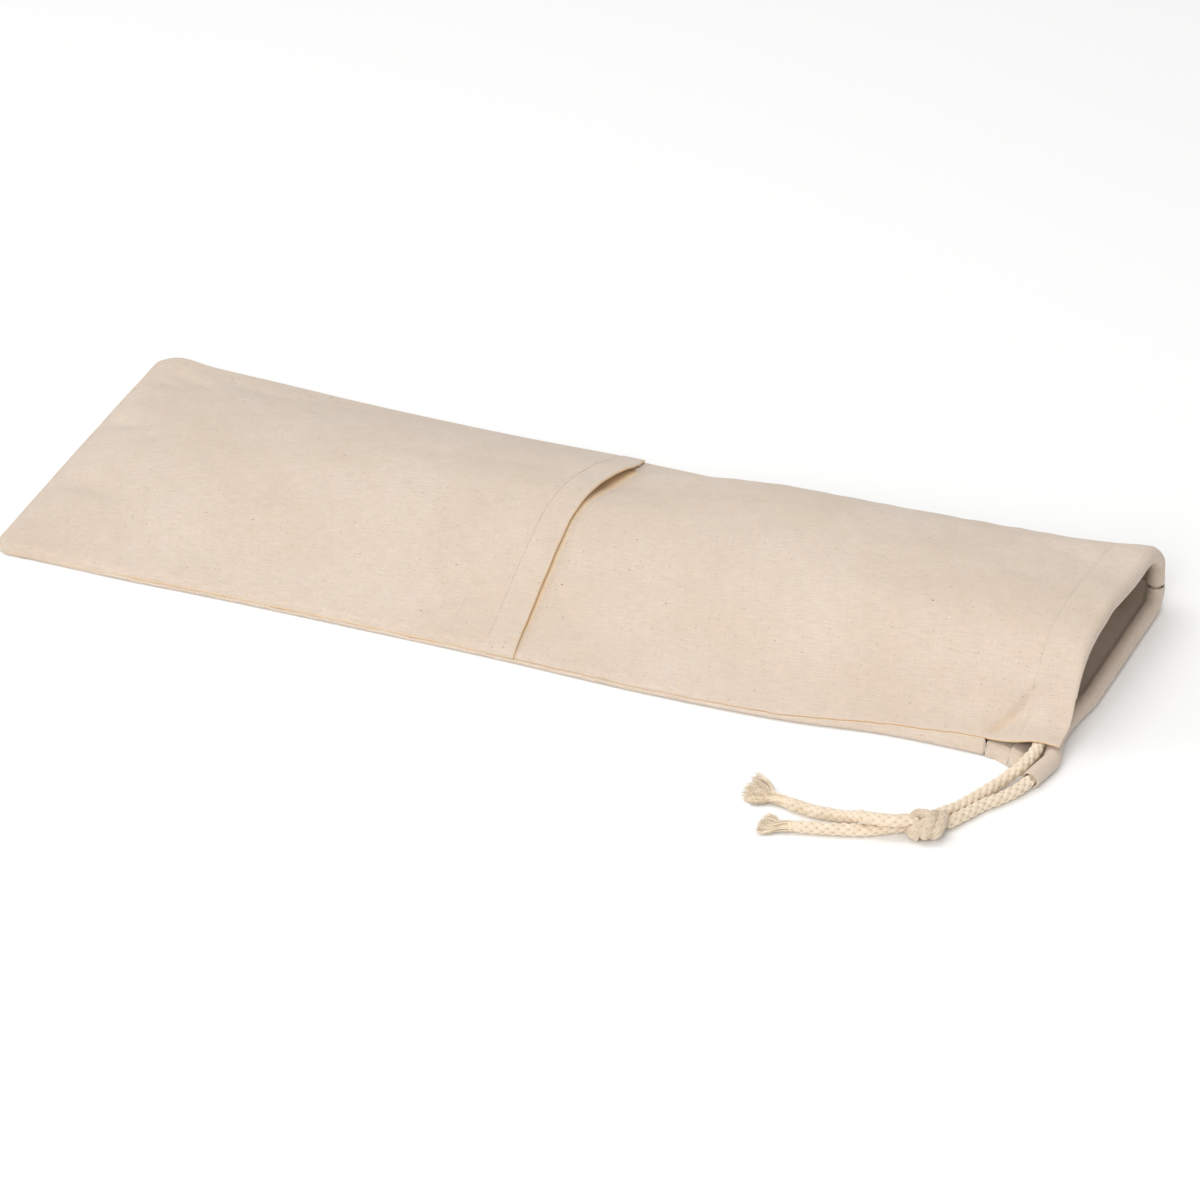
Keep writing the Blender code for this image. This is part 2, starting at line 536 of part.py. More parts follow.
def tube_mesh(name, points, radii, sides):
    """A closed tube mesh along points, each with its own radius."""
    data = bpy.data.curves.new(name, "CURVE")
    data.dimensions = "3D"
    data.bevel_depth = 1.0
    data.bevel_resolution = sides
    data.use_fill_caps = True
    spline = data.splines.new("POLY")
    spline.points.add(len(points) - 1)
    for point, place, radius in zip(spline.points, points, radii):
        point.co = (*placed(*place), 1.0)
        point.radius = radius
    curve = bpy.data.objects.new(name, data)
    bpy.context.scene.collection.objects.link(curve)
    mesh = bpy.data.meshes.new_from_object(curve.evaluated_get(bpy.context.evaluated_depsgraph_get()))
    bpy.data.objects.remove(curve, do_unlink=True)
    bm = bmesh.new()
    bm.from_mesh(mesh)
    bmesh.ops.remove_doubles(bm, verts=bm.verts, dist=0.00005)
    bmesh.ops.recalc_face_normals(bm, faces=bm.faces)
    bm.to_mesh(mesh)
    bm.free()
    return mesh


def join_meshes(name, meshes, material, group):
    bm = bmesh.new()
    for mesh in meshes:
        bm.from_mesh(mesh)
    mesh = bpy.data.meshes.new(name)
    bm.to_mesh(mesh)
    bm.free()
    thing = bpy.data.objects.new(name, mesh)
    thing.data.materials.append(material)
    group.objects.link(thing)
    return thing


def work_into_one(thing, grain):
    """Merge a mesh's overlapping bands into one closed body with a fine, even surface."""
    merge = thing.modifiers.new("one piece", "REMESH")
    merge.mode = "VOXEL"
    merge.voxel_size = grain
    merge.use_smooth_shade = True


def make_knot(material, group):
    bands = []
    for radius, points in KNOT_BANDS:
        line = smooth_route(points, 0.0016)
        bands.append(tube_mesh("band", line, [radius] * len(line), 3))
    knot = join_meshes("cord_knot", bands, material, group)
    work_into_one(knot, KNOT_GRAIN)


def make_fray(name, root, tail, locks, material, group):
    """A frayed cord end: a short head that tapers from the cord, with locks that lie on the surface."""
    parts = []
    step = np.array(tail[-1]) - np.array(root)
    start = np.array(root) + step * (1.0 - 0.0007 / float(np.linalg.norm(step)))
    line = smooth_route((start, root), 0.0012)
    radii = [CORD_RADIUS * (1.0 - 0.25 * k / (len(line) - 1)) for k in range(len(line))]
    parts.append(tube_mesh("head", line, radii, CORD_SIDES))
    for k, (tip_at, tip_y, bow) in enumerate(locks):
        share = (k + 0.5) / len(locks) - 0.5
        side = np.array((tip_y - root[1], root[0] - tip_at))
        side /= np.linalg.norm(side)
        low = 0.0024 + 0.0020 * (k % 2)
        first = (root[0] + 0.0010, root[1] - share * 0.0046, low)
        middle = ((root[0] + tip_at) / 2 + side[0] * bow, (root[1] + tip_y) / 2 - side[1] * bow, 0.0016)
        tip = (tip_at, tip_y, LOCK_RADII[1] + 0.0001)
        line = smooth_route((first, middle, tip), 0.0035)
        radii = [LOCK_RADII[0] + (LOCK_RADII[1] - LOCK_RADII[0]) * j / (len(line) - 1)
                 for j in range(len(line))]
        parts.append(tube_mesh("lock", line, radii, 1))
    fray = join_meshes(name, parts[:1], material, group)
    tufts = join_meshes(name + "_locks", parts[1:], material, group)
    join = fray.modifiers.new("roots", "BOOLEAN")
    join.operation = "UNION"
    join.solver = "EXACT"
    join.use_self = True
    join.object = tufts
    bpy.context.view_layer.update()
    joined = bpy.data.meshes.new_from_object(fray.evaluated_get(bpy.context.evaluated_depsgraph_get()))
    fray.modifiers.remove(join)
    fray.data = joined
    bpy.data.objects.remove(tufts, do_unlink=True)


def main():
    clear_scene()
    group = make_collection("bread_bag")
    cotton = make_material("cotton cloth", COTTON, 0.9)
    cord_cotton = make_material("cotton cord", CORD_COTTON, 0.92)
    make_back(cotton, group)
    make_front(cotton, group)
    make_pocket(cotton, group)
    make_cords(cord_cotton, group)
    make_knot(cord_cotton, group)
    make_fray("fray_upper", FRAY_UPPER_ROOT, ROUTE_UPPER, FRAY_UPPER_LOCKS, cord_cotton, group)
    make_fray("fray_lower", FRAY_LOWER_ROOT, ROUTE_LOWER, FRAY_LOWER_LOCKS, cord_cotton, group)


main()
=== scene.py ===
# %% [markdown]
# # A cotton bread bag with a pocket and a drawcord
#
# The bag is two long cloths sewn together at both sides and at one end.  A third cloth makes a pocket
# on the closed half.  The mouth has a deep hem with a braided cord inside.  The cord comes out at a
# slit near the mouth, both strands are tied in one knot, and their ends are frayed.
#
# Everything here stands in the frame of the solid model, in metres.  The frame is loaded first, and
# each cloth and cord is made where its solid lies.

# %% Load the frame
import math

import bpy
import numpy as np
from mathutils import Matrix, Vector


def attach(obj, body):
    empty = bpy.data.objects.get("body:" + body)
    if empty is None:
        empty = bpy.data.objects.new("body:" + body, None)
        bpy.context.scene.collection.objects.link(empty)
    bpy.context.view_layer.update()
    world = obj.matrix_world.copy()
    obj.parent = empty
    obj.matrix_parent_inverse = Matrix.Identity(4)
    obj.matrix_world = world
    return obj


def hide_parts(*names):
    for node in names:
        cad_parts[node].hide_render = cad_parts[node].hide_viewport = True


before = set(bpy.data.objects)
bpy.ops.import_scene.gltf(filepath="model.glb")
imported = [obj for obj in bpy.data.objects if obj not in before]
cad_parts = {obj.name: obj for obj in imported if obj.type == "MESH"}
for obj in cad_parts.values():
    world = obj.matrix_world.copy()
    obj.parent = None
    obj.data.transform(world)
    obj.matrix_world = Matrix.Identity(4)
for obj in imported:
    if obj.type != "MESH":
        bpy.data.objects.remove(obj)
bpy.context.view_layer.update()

print("nodes:", sorted(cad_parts))

# %% [markdown]
# ## Camera, floor and light
#
# A long lens from far away keeps the bag's sides nearly parallel, as in a catalogue picture.  The
# floor is one pale sheet, and three large soft lamps and a bright sky leave no hard shadow.

# %% Camera
LOOK_AT = Vector((0.0232, -0.0354, 0.0))
AZIMUTH, ELEVATION = math.radians(21.997), math.radians(31.473)
CAMERA_DISTANCE = 5.50
LENS = 260.8

towards_camera = Vector((math.sin(AZIMUTH) * math.cos(ELEVATION),
                         -math.cos(AZIMUTH) * math.cos(ELEVATION), math.sin(ELEVATION)))
bpy.ops.object.select_all(action="DESELECT")
bpy.ops.object.camera_add(location=LOOK_AT + towards_camera * CAMERA_DISTANCE,
                          rotation=towards_camera.to_track_quat("Z", "Y").to_euler())
camera = bpy.context.object
camera.name = "camera"
camera.data.sensor_width = 36.0
camera.data.lens = LENS
camera.data.clip_end = 50.0
bpy.context.scene.camera = camera
bpy.context.scene.view_settings.view_transform = "Standard"
print("camera at", tuple(round(x, 3) for x in camera.location))

# %% Floor
FLOOR_SIZE = 14.0
FLOOR_TONE = (0.96, 0.96, 0.955, 1.0)

bpy.ops.object.select_all(action="DESELECT")
bpy.ops.mesh.primitive_plane_add(size=FLOOR_SIZE, location=(0.0, 0.0, -0.0002))
floor = bpy.context.object
floor.name = "floor"
pale = bpy.data.materials.new("pale floor")
pale.use_nodes = True
pale_shader = pale.node_tree.nodes["Principled BSDF"]
pale_shader.inputs["Base Color"].default_value = FLOOR_TONE
pale_shader.inputs["Roughness"].default_value = 0.9
floor.data.materials.append(pale)
print("floor:", FLOOR_SIZE, "m wide")

# %% Light
SKY_STRENGTH = 0.46
LAMPS = (                    # name, place, size and power
    ("front lamp", (0.5, -3.0, 1.9), 2.2, 62.0),
    ("top lamp", (-0.3, 0.2, 3.0), 3.0, 40.0),
    ("left lamp", (-2.6, -0.6, 1.6), 1.6, 12.0),
)

sky = bpy.context.scene.world or bpy.data.worlds.new("studio")
bpy.context.scene.world = sky
sky.use_nodes = True
sky.node_tree.nodes["Background"].inputs["Color"].default_value = (1.0, 1.0, 1.0, 1.0)
sky.node_tree.nodes["Background"].inputs["Strength"].default_value = SKY_STRENGTH
for name, place, size, power in LAMPS:
    bpy.ops.object.light_add(type="AREA", location=place,
                             rotation=Vector(place).to_track_quat("Z", "Y").to_euler())
    lamp = bpy.context.object
    lamp.name = name
    lamp.data.shape = "DISK"
    lamp.data.size = size
    lamp.data.energy = power
print("lamps:", len(LAMPS))

# %% [markdown]
# ## Curves through a few measured points
#
# The bag has no straight line in it, so its shape is held in tables of a few points.  A smooth curve
# is read through them.  Each piece of the curve is a cubic that takes the slope of its neighbours, so
# it goes through every point with no corner and no overshoot.

# %% Reading a smooth curve
def smooth_step(t):
    t = np.clip(t, 0.0, 1.0)
    return t * t * (3.0 - 2.0 * t)


def read_curve(knots, values, at):
    """Values of a smooth curve through values at knots, at many places."""
    knots, values = np.asarray(knots, float), np.asarray(values, float)
    at = np.clip(np.asarray(at, float), knots[0], knots[-1])
    steps = np.diff(knots)
    shape = (-1,) + (1,) * (values.ndim - 1)
    slopes = np.diff(values, axis=0) / steps.reshape(shape)
    tangents = np.empty_like(values)
    tangents[0], tangents[-1] = slopes[0], slopes[-1]
    before, after = steps[:-1].reshape(shape), steps[1:].reshape(shape)
    tangents[1:-1] = (slopes[:-1] * after + slopes[1:] * before) / (before + after)
    cell = np.clip(np.searchsorted(knots, at, side="right") - 1, 0, len(steps) - 1)
    t = ((at - knots[cell]) / steps[cell]).reshape(shape)
    h = steps[cell].reshape(shape)
    return ((2 * t**3 - 3 * t**2 + 1) * values[cell] + (t**3 - 2 * t**2 + t) * h * tangents[cell]
            + (3 * t**2 - 2 * t**3) * values[cell + 1] + (t**3 - t**2) * h * tangents[cell + 1])


def look_up(table, at):
    """Values of the smooth curve of a table with two columns."""
    return read_curve(*np.transpose(table), np.ravel(at)).reshape(np.shape(at))


def lengths_along(points):
    return np.concatenate(([0.0], np.cumsum(np.linalg.norm(np.diff(points, axis=0), axis=1))))


def even_route(points, spacing):
    """Points at even distances along the smooth curve through a route's own points."""
    points = np.array(points, float)
    knots = lengths_along(points)
    line = read_curve(knots, points, np.linspace(0.0, knots[-1], 60 * len(points)))
    lengths = lengths_along(line)
    marks = np.linspace(0.0, lengths[-1], max(3, round(lengths[-1] / spacing) + 1))
    return np.column_stack([np.interp(marks, lengths, line[:, k]) for k in range(3)])


print("a curve through 0, 1 and 0 is", read_curve((0, 1, 2), (0, 1, 0), [0.5])[0], "up at a quarter")

# %% Sizes of the bag
CLOSED_END = 0.0040          # all tables measure along the bag from 4 mm outside its closed end
BAG_LENGTH = 0.7200
CLOTH_WIDTH = 0.2645
CLOTH = 0.0012               # one layer of the solid model's cloth
FABRIC = 0.0008              # one layer of cloth here
GAP = 0.0003
ORIGIN = np.array((0.3625, 0.1241, 0.0))
SLIT_START = 0.6700
POCKET_EDGE = 0.3575
END_CORNER = 0.010
CORD_DIAMETER = 0.0075
CORD_RADIUS = CORD_DIAMETER / 2
print("the bag is", BAG_LENGTH - CLOSED_END, "m long, and its cloths are", CLOTH_WIDTH, "m wide")

# %% [markdown]
# ## How the cloth lies
#
# Two long loaves fill the bag, so its front is nearly flat at the closed end and arched at the mouth.
# Each row of the table is one section across the front cloth, from the near seam over the top to the
# far seam.  A section holds nine points, and "fold" is where the back cloth turns up to meet it.

# %% Sections across the front cloth
# Each row: at, fold, then the points near, foot, rise, crest, top, back, brow, fall and far (y, z).
SECTIONS = (
    (0.0040, -0.0010, (-0.0005, 0.0021), (0.0320, 0.0021), (0.0700, 0.0021), (0.1030, 0.0021),
     (0.1320, 0.0021), (0.1680, 0.0021), (0.2060, 0.0021), (0.2380, 0.0021), (0.2620, 0.0021)),
    (0.0150, -0.0020, (-0.0005, 0.0031), (0.0320, 0.0052), (0.0700, 0.0074), (0.1030, 0.0084),
     (0.1320, 0.0087), (0.1680, 0.0083), (0.2060, 0.0067), (0.2380, 0.0048), (0.2605, 0.0033)),
    (0.0400, -0.0020, (-0.0006, 0.0029), (0.0320, 0.0088), (0.0700, 0.0142), (0.1030, 0.0168),
     (0.1320, 0.0176), (0.1680, 0.0164), (0.2050, 0.0122), (0.2350, 0.0074), (0.2570, 0.0036)),
    (0.0900, -0.0024, (-0.0008, 0.0029), (0.0325, 0.0112), (0.0700, 0.0202), (0.1030, 0.0252),
     (0.1320, 0.0266), (0.1670, 0.0246), (0.2030, 0.0180), (0.2320, 0.0098), (0.2535, 0.0040)),
    (0.1500, -0.0010, (0.0006, 0.0029), (0.0330, 0.0128), (0.0700, 0.0246), (0.1030, 0.0320),
     (0.1320, 0.0342), (0.1660, 0.0312), (0.2000, 0.0226), (0.2280, 0.0122), (0.2495, 0.0043)),
    (0.2500, -0.0008, (0.0008, 0.0029), (0.0330, 0.0142), (0.0700, 0.0282), (0.1030, 0.0378),
     (0.1320, 0.0412), (0.1650, 0.0366), (0.1980, 0.0276), (0.2250, 0.0158), (0.2470, 0.0045)),
    (0.3575, -0.0018, (-0.0002, 0.0030), (0.0330, 0.0128), (0.0670, 0.0282), (0.1000, 0.0410),
     (0.1260, 0.0450), (0.1640, 0.0366), (0.1960, 0.0305), (0.2220, 0.0175), (0.2480, 0.0048)),
    (0.4500, -0.0046, (-0.0030, 0.0034), (0.0310, 0.0160), (0.0640, 0.0326), (0.0960, 0.0456),
     (0.1290, 0.0505), (0.1660, 0.0480), (0.2040, 0.0372), (0.2300, 0.0182), (0.2435, 0.0062)),
    (0.5500, -0.0016, (0.0002, 0.0042), (0.0290, 0.0170), (0.0530, 0.0366), (0.0800, 0.0512),
     (0.1150, 0.0576), (0.1600, 0.0552), (0.2010, 0.0418), (0.2260, 0.0220), (0.2370, 0.0080)),
    (0.6100, 0.0060, (0.0088, 0.0068), (0.0320, 0.0168), (0.0500, 0.0370), (0.0730, 0.0532),
     (0.1060, 0.0602), (0.1550, 0.0570), (0.2000, 0.0440), (0.2240, 0.0250), (0.2320, 0.0100)),
    (0.6600, 0.0068, (0.0120, 0.0092), (0.0335, 0.0168), (0.0490, 0.0374), (0.0690, 0.0548),
     (0.1000, 0.0614), (0.1510, 0.0576), (0.1990, 0.0466), (0.2180, 0.0290), (0.2230, 0.0140)),
    (0.6900, 0.0060, (0.0108, 0.0118), (0.0330, 0.0176), (0.0482, 0.0386), (0.0680, 0.0562),
     (0.1000, 0.0618), (0.1500, 0.0576), (0.2000, 0.0484), (0.2160, 0.0320), (0.2180, 0.0170)),
    (0.7050, 0.0060, (0.0124, 0.0146), (0.0330, 0.0186), (0.0476, 0.0390), (0.0672, 0.0572),
     (0.1000, 0.0622), (0.1500, 0.0576), (0.2020, 0.0490), (0.2160, 0.0340), (0.2160, 0.0190)),
    (0.7200, 0.0060, (0.0140, 0.0128), (0.0335, 0.0172), (0.0470, 0.0388), (0.0670, 0.0574),
     (0.1000, 0.0622), (0.1500, 0.0574), (0.2030, 0.0492), (0.2150, 0.0350), (0.2150, 0.0190)),
)
STATIONS, FOLDS = (np.array([row[k] for row in SECTIONS]) for k in (0, 1))
POINTS = np.array([row[2:] for row in SECTIONS])
LINE_STATIONS = np.linspace(CLOSED_END, BAG_LENGTH, 717)
LINE_SHARES = np.linspace(0.0, 1.0, 241)
print("sections:", len(SECTIONS), "with", POINTS.shape[1], "points each")

# %% [markdown]
# The sections are read once at every millimetre, with each line cut into equal shares of its length.
# Any place on the cloth is then found between four of these points, which is quick for many points.

# %% Reading a place on the front cloth
def section_lines():
    lines = []
    for points in read_curve(STATIONS, POINTS, LINE_STATIONS):
        knots = lengths_along(points)
        line = read_curve(knots, points, np.linspace(0.0, knots[-1], len(LINE_SHARES)))
        lengths = lengths_along(line)
        lines.append([np.interp(LINE_SHARES, lengths / lengths[-1], line[:, k]) for k in (0, 1)])
    return np.array(lines)


SECTION_LINES = section_lines()


def read_section(at, along):
    """y and z of the front cloth, for places along the bag and shares of its width."""
    row = np.clip((at - CLOSED_END) / (BAG_LENGTH - CLOSED_END), 0.0, 1.0) * (len(LINE_STATIONS) - 1)
    column = np.clip(along, 0.0, 1.0) * (len(LINE_SHARES) - 1)
    i = np.minimum(row.astype(int), len(LINE_STATIONS) - 2)
    j = np.minimum(column.astype(int), len(LINE_SHARES) - 2)
    s, t = (row - i)[..., None], (column - j)[..., None]
    left, right = (SECTION_LINES[i, :, k] * (1 - s) + SECTION_LINES[i + 1, :, k] * s
                   for k in (j, j + 1))
    return np.moveaxis(left * (1 - t) + right * t, -1, 0)


print("lines across the front:", len(SECTION_LINES), "with", len(LINE_SHARES), "points each")

# %% [markdown]
# Soft creases and hollows are held as short lines with a depth and a half width.  A negative depth
# makes a ridge.  The broad ones are in the solid model too, and the fine ones are only seen up close.

# %% Creases and hollows
# Each row: at and across where it starts, at and across where it ends, depth and half width.
TROUGHS = (
    (0.002, 0.236, 0.050, 0.218, 0.0024, 0.010),
    (0.003, 0.168, 0.036, 0.160, 0.0022, 0.010),
    (0.004, 0.082, 0.062, 0.070, 0.0024, 0.011),
    (0.125, 0.020, 0.150, 0.038, 0.0010, 0.008),
    (0.676, 0.014, 0.700, 0.046, 0.0022, 0.007),
)
CREASES = (
    (0.020, 0.246, 0.056, 0.228, 0.0024, 0.007),
    (0.010, 0.170, 0.044, 0.154, 0.0022, 0.008),
    (0.008, 0.094, 0.062, 0.070, 0.0024, 0.009),
    (0.060, 0.246, 0.110, 0.236, 0.0014, 0.007),
    (0.142, 0.010, 0.150, 0.044, 0.0011, 0.0035),
    (0.156, 0.006, 0.170, 0.036, 0.0010, 0.0035),
    (0.172, 0.005, 0.178, 0.024, -0.0005, 0.003),
    (0.215, 0.236, 0.280, 0.246, 0.0010, 0.008),
    (0.462, 0.170, 0.470, 0.075, 0.0012, 0.014),
    (0.500, 0.120, 0.540, 0.200, -0.0008, 0.016),
    (0.630, 0.150, 0.690, 0.132, 0.0008, 0.010),
    (0.672, 0.002, 0.692, 0.044, 0.0032, 0.0032),
    (0.680, 0.018, 0.700, 0.060, -0.0009, 0.005),
    (0.690, 0.040, 0.700, 0.080, 0.0006, 0.006),
    (0.655, 0.190, 0.700, 0.178, 0.0006, 0.006),
)


def hollows(creases, at, across):
    """How far short creases lower the cloth at places on it."""
    total = np.zeros(np.broadcast(at, across).shape)
    for at_0, across_0, at_1, across_1, depth, half_width in creases:
        run = np.array((at_1 - at_0, across_1 - across_0))
        u, v = at - at_0, across - across_0
        t = np.clip((u * run[0] + v * run[1]) / float(run @ run), 0.0, 1.0)
        away = np.hypot(u - t * run[0], v - t * run[1])
        total += depth * np.sin(math.pi * (0.12 + 0.76 * t)) * np.exp(-((away / half_width) ** 2))
    return total


RUFFLE = 0.00022             # height of the cloth's unevenness
RUFFLE_WAVES = 26
RUFFLE_LENGTHS = (0.018, 0.075)
SMOOTH_EDGE = 0.012          # the unevenness dies out over this width at the seams
STITCH_GROOVE = 0.00028      # how far a row of stitches pulls the cloth down
STITCH_GROOVE_WIDTH = 0.0015
MOUTH_STITCHES = 0.6920      # where the mouth's hem is sewn down

chance = np.random.default_rng(11)
wave_turns = chance.uniform(0.0, math.pi, RUFFLE_WAVES)
wave_lengths = np.exp(chance.uniform(*np.log(RUFFLE_LENGTHS), RUFFLE_WAVES))
wave_starts = chance.uniform(0.0, math.tau, RUFFLE_WAVES)


def stitch_groove(at, place):
    return STITCH_GROOVE * np.exp(-(((at - place) / STITCH_GROOVE_WIDTH) ** 2))


def ruffle(at, across):
    """The gentle unevenness of cloth that has been folded and handled, with its fine creases."""
    total = np.zeros(np.broadcast(at, across).shape)
    for turn, length, start in zip(wave_turns, wave_lengths, wave_starts):
        total += np.sin((at * math.cos(turn) + across * math.sin(turn)) / length * math.tau + start)
    total *= RUFFLE / math.sqrt(RUFFLE_WAVES / 2)
    total -= hollows(CREASES, at, across) + stitch_groove(at, MOUTH_STITCHES)
    side = np.minimum(across, CLOTH_WIDTH - across)
    return total * smooth_step(side / SMOOTH_EDGE) * smooth_step((at - CLOSED_END) / SMOOTH_EDGE)


print("broad hollows:", len(TROUGHS), "and fine creases:", len(CREASES))

# %% [markdown]
# The front is read as points, and its outward direction comes from its neighbours.  The bag's two
# end corners are rounded, because a sewn corner never turns out sharp.

# %% The front cloth's surface
NEAR_CORNER = 0.013          # the near corner of the closed end is rounder than the far one
LOWEST_FRONT = 0.0021
HOLLOWS_GROW = 0.02          # the hollows get their depth over this length from the closed end
SLOPE_RUN = 0.004            # the outward direction is read this far to each side, along the bag
SLOPE_SHARE = 0.012          # and this share of the width to each side, across it


def end_corner(at, across):
    radius = np.where(across < CLOTH_WIDTH / 2, NEAR_CORNER, END_CORNER)
    side = np.clip(np.minimum(across, CLOTH_WIDTH - across), 0.0, radius)
    inset = radius * (1.0 - np.sqrt(np.maximum(0.0, 1.0 - (1.0 - side / radius) ** 2)))
    return inset * (1.0 - smooth_step(at / (4.0 * END_CORNER)))


def front(at, along):
    """Points of the front cloth's middle surface; along runs from 0 at the near seam to 1."""
    at, along = np.broadcast_arrays(np.asarray(at, float), np.asarray(along, float))
    y, z = read_section(at, along)
    across = along * CLOTH_WIDTH
    z = np.maximum(z - hollows(TROUGHS, at, across) * smooth_step(at / HOLLOWS_GROW), LOWEST_FRONT)
    return np.stack([at + end_corner(at - CLOSED_END, across), y, z], -1)


def front_normal(at, along):
    at, along = np.broadcast_arrays(np.asarray(at, float), np.asarray(along, float))
    run = (front(np.minimum(at + SLOPE_RUN, BAG_LENGTH), along)
           - front(np.maximum(at - SLOPE_RUN, CLOSED_END), along))
    rise = (front(at, np.minimum(along + SLOPE_SHARE, 1.0))
            - front(at, np.maximum(along - SLOPE_SHARE, 0.0)))
    normal = np.cross(run, rise)
    return normal / np.linalg.norm(normal, axis=-1, keepdims=True)


def raised(at, along, lift):
    """Points a little above the front cloth's middle surface, with the cloth's unevenness."""
    at, along = np.broadcast_arrays(np.asarray(at, float), np.asarray(along, float))
    height = ruffle(at, along * CLOTH_WIDTH) + lift
    return front(at, along) + front_normal(at, along) * height[..., None]


print("the front's highest section is", round(float(front(STATIONS, 0.5)[:, 2].max()), 4), "m up")

# %% [markdown]
# At the near seam the cloth bends down to meet the back, lower on the closed half, and it is a little
# wavy there, because a long seam never lies quite straight.

# %% The near seam
SEAM_BEND = 0.0042           # width over which the cloth bends down at the near seam
SEAM_LOW = 0.0011            # how far it comes down on the closed half
SEAM_RISES_AT = 0.43         # from here on the seam comes up again,
SEAM_RISE = 0.17             # over this length
SEAM_WAVE = 0.00032
WAVE_STARTS, WAVE_ENDS, WAVE_EASE = 0.010, 0.640, 0.03
WAVE_WIDTH = 0.016           # the wave dies out over this width from the seam
SEAM_WAVE_LENGTHS = (0.083, 0.047, 0.031, 0.021, 0.0135)
LAP_OUT = 0.55               # share of its lap by which a cloth's edge goes outwards
PRESSED = 0.05               # up to here from the closed end the seam's layers are pressed together
seam_turns = chance.uniform(0.0, math.tau, len(SEAM_WAVE_LENGTHS))


def seam_low(at):
    return SEAM_LOW * (1.0 - smooth_step((at - SEAM_RISES_AT) / SEAM_RISE))


def freed(at, pressed, free):
    """A size at the seam that differs where the layers are pressed together."""
    return pressed + (free - pressed) * smooth_step((at - PRESSED) / PRESSED)


def seam_wave(at):
    waves = sum(np.sin(at / length * math.tau + turn)
                for length, turn in zip(SEAM_WAVE_LENGTHS, seam_turns)) / math.sqrt(len(seam_turns))
    return (SEAM_WAVE * waves * smooth_step((at - WAVE_STARTS) / WAVE_EASE)
            * (1.0 - smooth_step((at - WAVE_ENDS) / WAVE_EASE)))


def bent_down(points, at, along, lowest, over=0.0):
    """Points of a cloth, bent down at the near seam and the closed end; over is how far it laps over
    the edge of the cloth below, and lowest is the height that it keeps."""
    at, along = np.broadcast_arrays(np.asarray(at, float), np.asarray(along, float))
    side = along * CLOTH_WIDTH
    near_bend = 1.0 - smooth_step(side / SEAM_BEND)
    end_bend = 1.0 - smooth_step((at - CLOSED_END) / SEAM_BEND)
    bend = np.maximum(near_bend, end_bend)
    wave = seam_wave(at) * (1.0 - smooth_step(side / WAVE_WIDTH))
    points = points.copy()
    z = points[..., 2]
    bent = np.maximum(z + wave - (seam_low(at) + over) * bend, np.minimum(lowest, z))
    points[..., 2] = np.where(bend + np.abs(wave) > 0.0, bent, z)
    points[..., 1] -= LAP_OUT * over * near_bend
    points[..., 0] -= LAP_OUT * over * end_bend
    return points


print("the near seam waves over", round(float(np.ptp(seam_wave(LINE_STATIONS))), 5), "m")

# %% [markdown]
# ## Making a sheet
#
# A sheet starts as a grid.  Its points move to their places, and their places on the flat cloth are
# kept as its UV map, in metres, so a woven pattern follows every fold.  A number at each point is kept
# too, and tells the material where painted shade makes the cloth browner and a painted glow makes it
# warmer.

# %% Laying out a sheet
def deselect_all():
    bpy.ops.object.select_all(action="DESELECT")


def points_of(mesh):
    places = np.empty(len(mesh.vertices) * 3)
    mesh.vertices.foreach_get("co", places)
    return places.reshape(-1, 3)


def corners_of(mesh):
    """The point that each corner of the faces stands on."""
    corners = np.empty(len(mesh.loops), int)
    mesh.loops.foreach_get("vertex_index", corners)
    return corners


def lay_out(name, points, cloth, painted_light_and_tone, keep=None):
    """A primitive grid whose points move to points, with cloth as its UV map; keep chooses faces."""
    rows, columns = points.shape[:2]
    deselect_all()
    bpy.ops.mesh.primitive_grid_add(x_subdivisions=rows - 1, y_subdivisions=columns - 1, size=1.0)
    sheet = bpy.context.object
    mesh = sheet.data
    sheet.name = mesh.name = name
    start, corners = points_of(mesh), corners_of(mesh)
    row = np.rint((start[:, 0] + 0.5) * (rows - 1)).astype(int)
    column = np.rint((start[:, 1] + 0.5) * (columns - 1)).astype(int)
    mesh.vertices.foreach_set("co", (points[row, column] - ORIGIN).ravel())
    mesh.uv_layers.active.name = "cloth"
    mesh.uv_layers["cloth"].data.foreach_set("uv", cloth[row, column][corners].ravel())
    # the painted light and tone at each point
    mesh.attributes.new("painted_light_and_tone", "FLOAT", "POINT").data.foreach_set("value", painted_light_and_tone[row, column])
    if keep is not None:
        face_row, face_column = (place[corners].reshape(-1, 4).min(1) for place in (row, column))
        mesh.vertices.foreach_set("select", np.zeros(len(mesh.vertices), bool))
        mesh.edges.foreach_set("select", np.zeros(len(mesh.edges), bool))
        mesh.polygons.foreach_set("select", ~keep(face_row, face_column))
        bpy.context.tool_settings.mesh_select_mode = (False, False, True)
        bpy.ops.object.mode_set(mode="EDIT")
        bpy.ops.mesh.delete(type="FACE")
        bpy.ops.object.mode_set(mode="OBJECT")
    mesh.update()
    bpy.ops.object.shade_smooth()
    return sheet


# %% [markdown]
# The grid's rows and columns stand closer together at the sheet's edges.  Solidify then gives it its
# thickness, and the sheet thins in its last half millimetre, so that its edges are round and not cut
# square.

# %% Edges and thickness
EDGE_STEPS = np.array((0.0, 0.00007, 0.0002, 0.0004))
EDGE_WEIGHTS = np.array((0.12, 0.55, 0.86, 1.0))
EDGE_END = 0.0011            # where a sheet's close rows give way to even ones
WEIGHT_LEVELS = 200
SEAM_FABRIC = 0.00135        # two folded layers, pressed


def edged(start, stop, step):
    """Places from start to stop, close together at both ends, where the sheet's edge is rounded."""
    inner = np.linspace(start + EDGE_END, stop - EDGE_END, max(2, round((stop - start) / step)))
    return np.concatenate((start + EDGE_STEPS, inner, (stop - EDGE_STEPS)[::-1]))


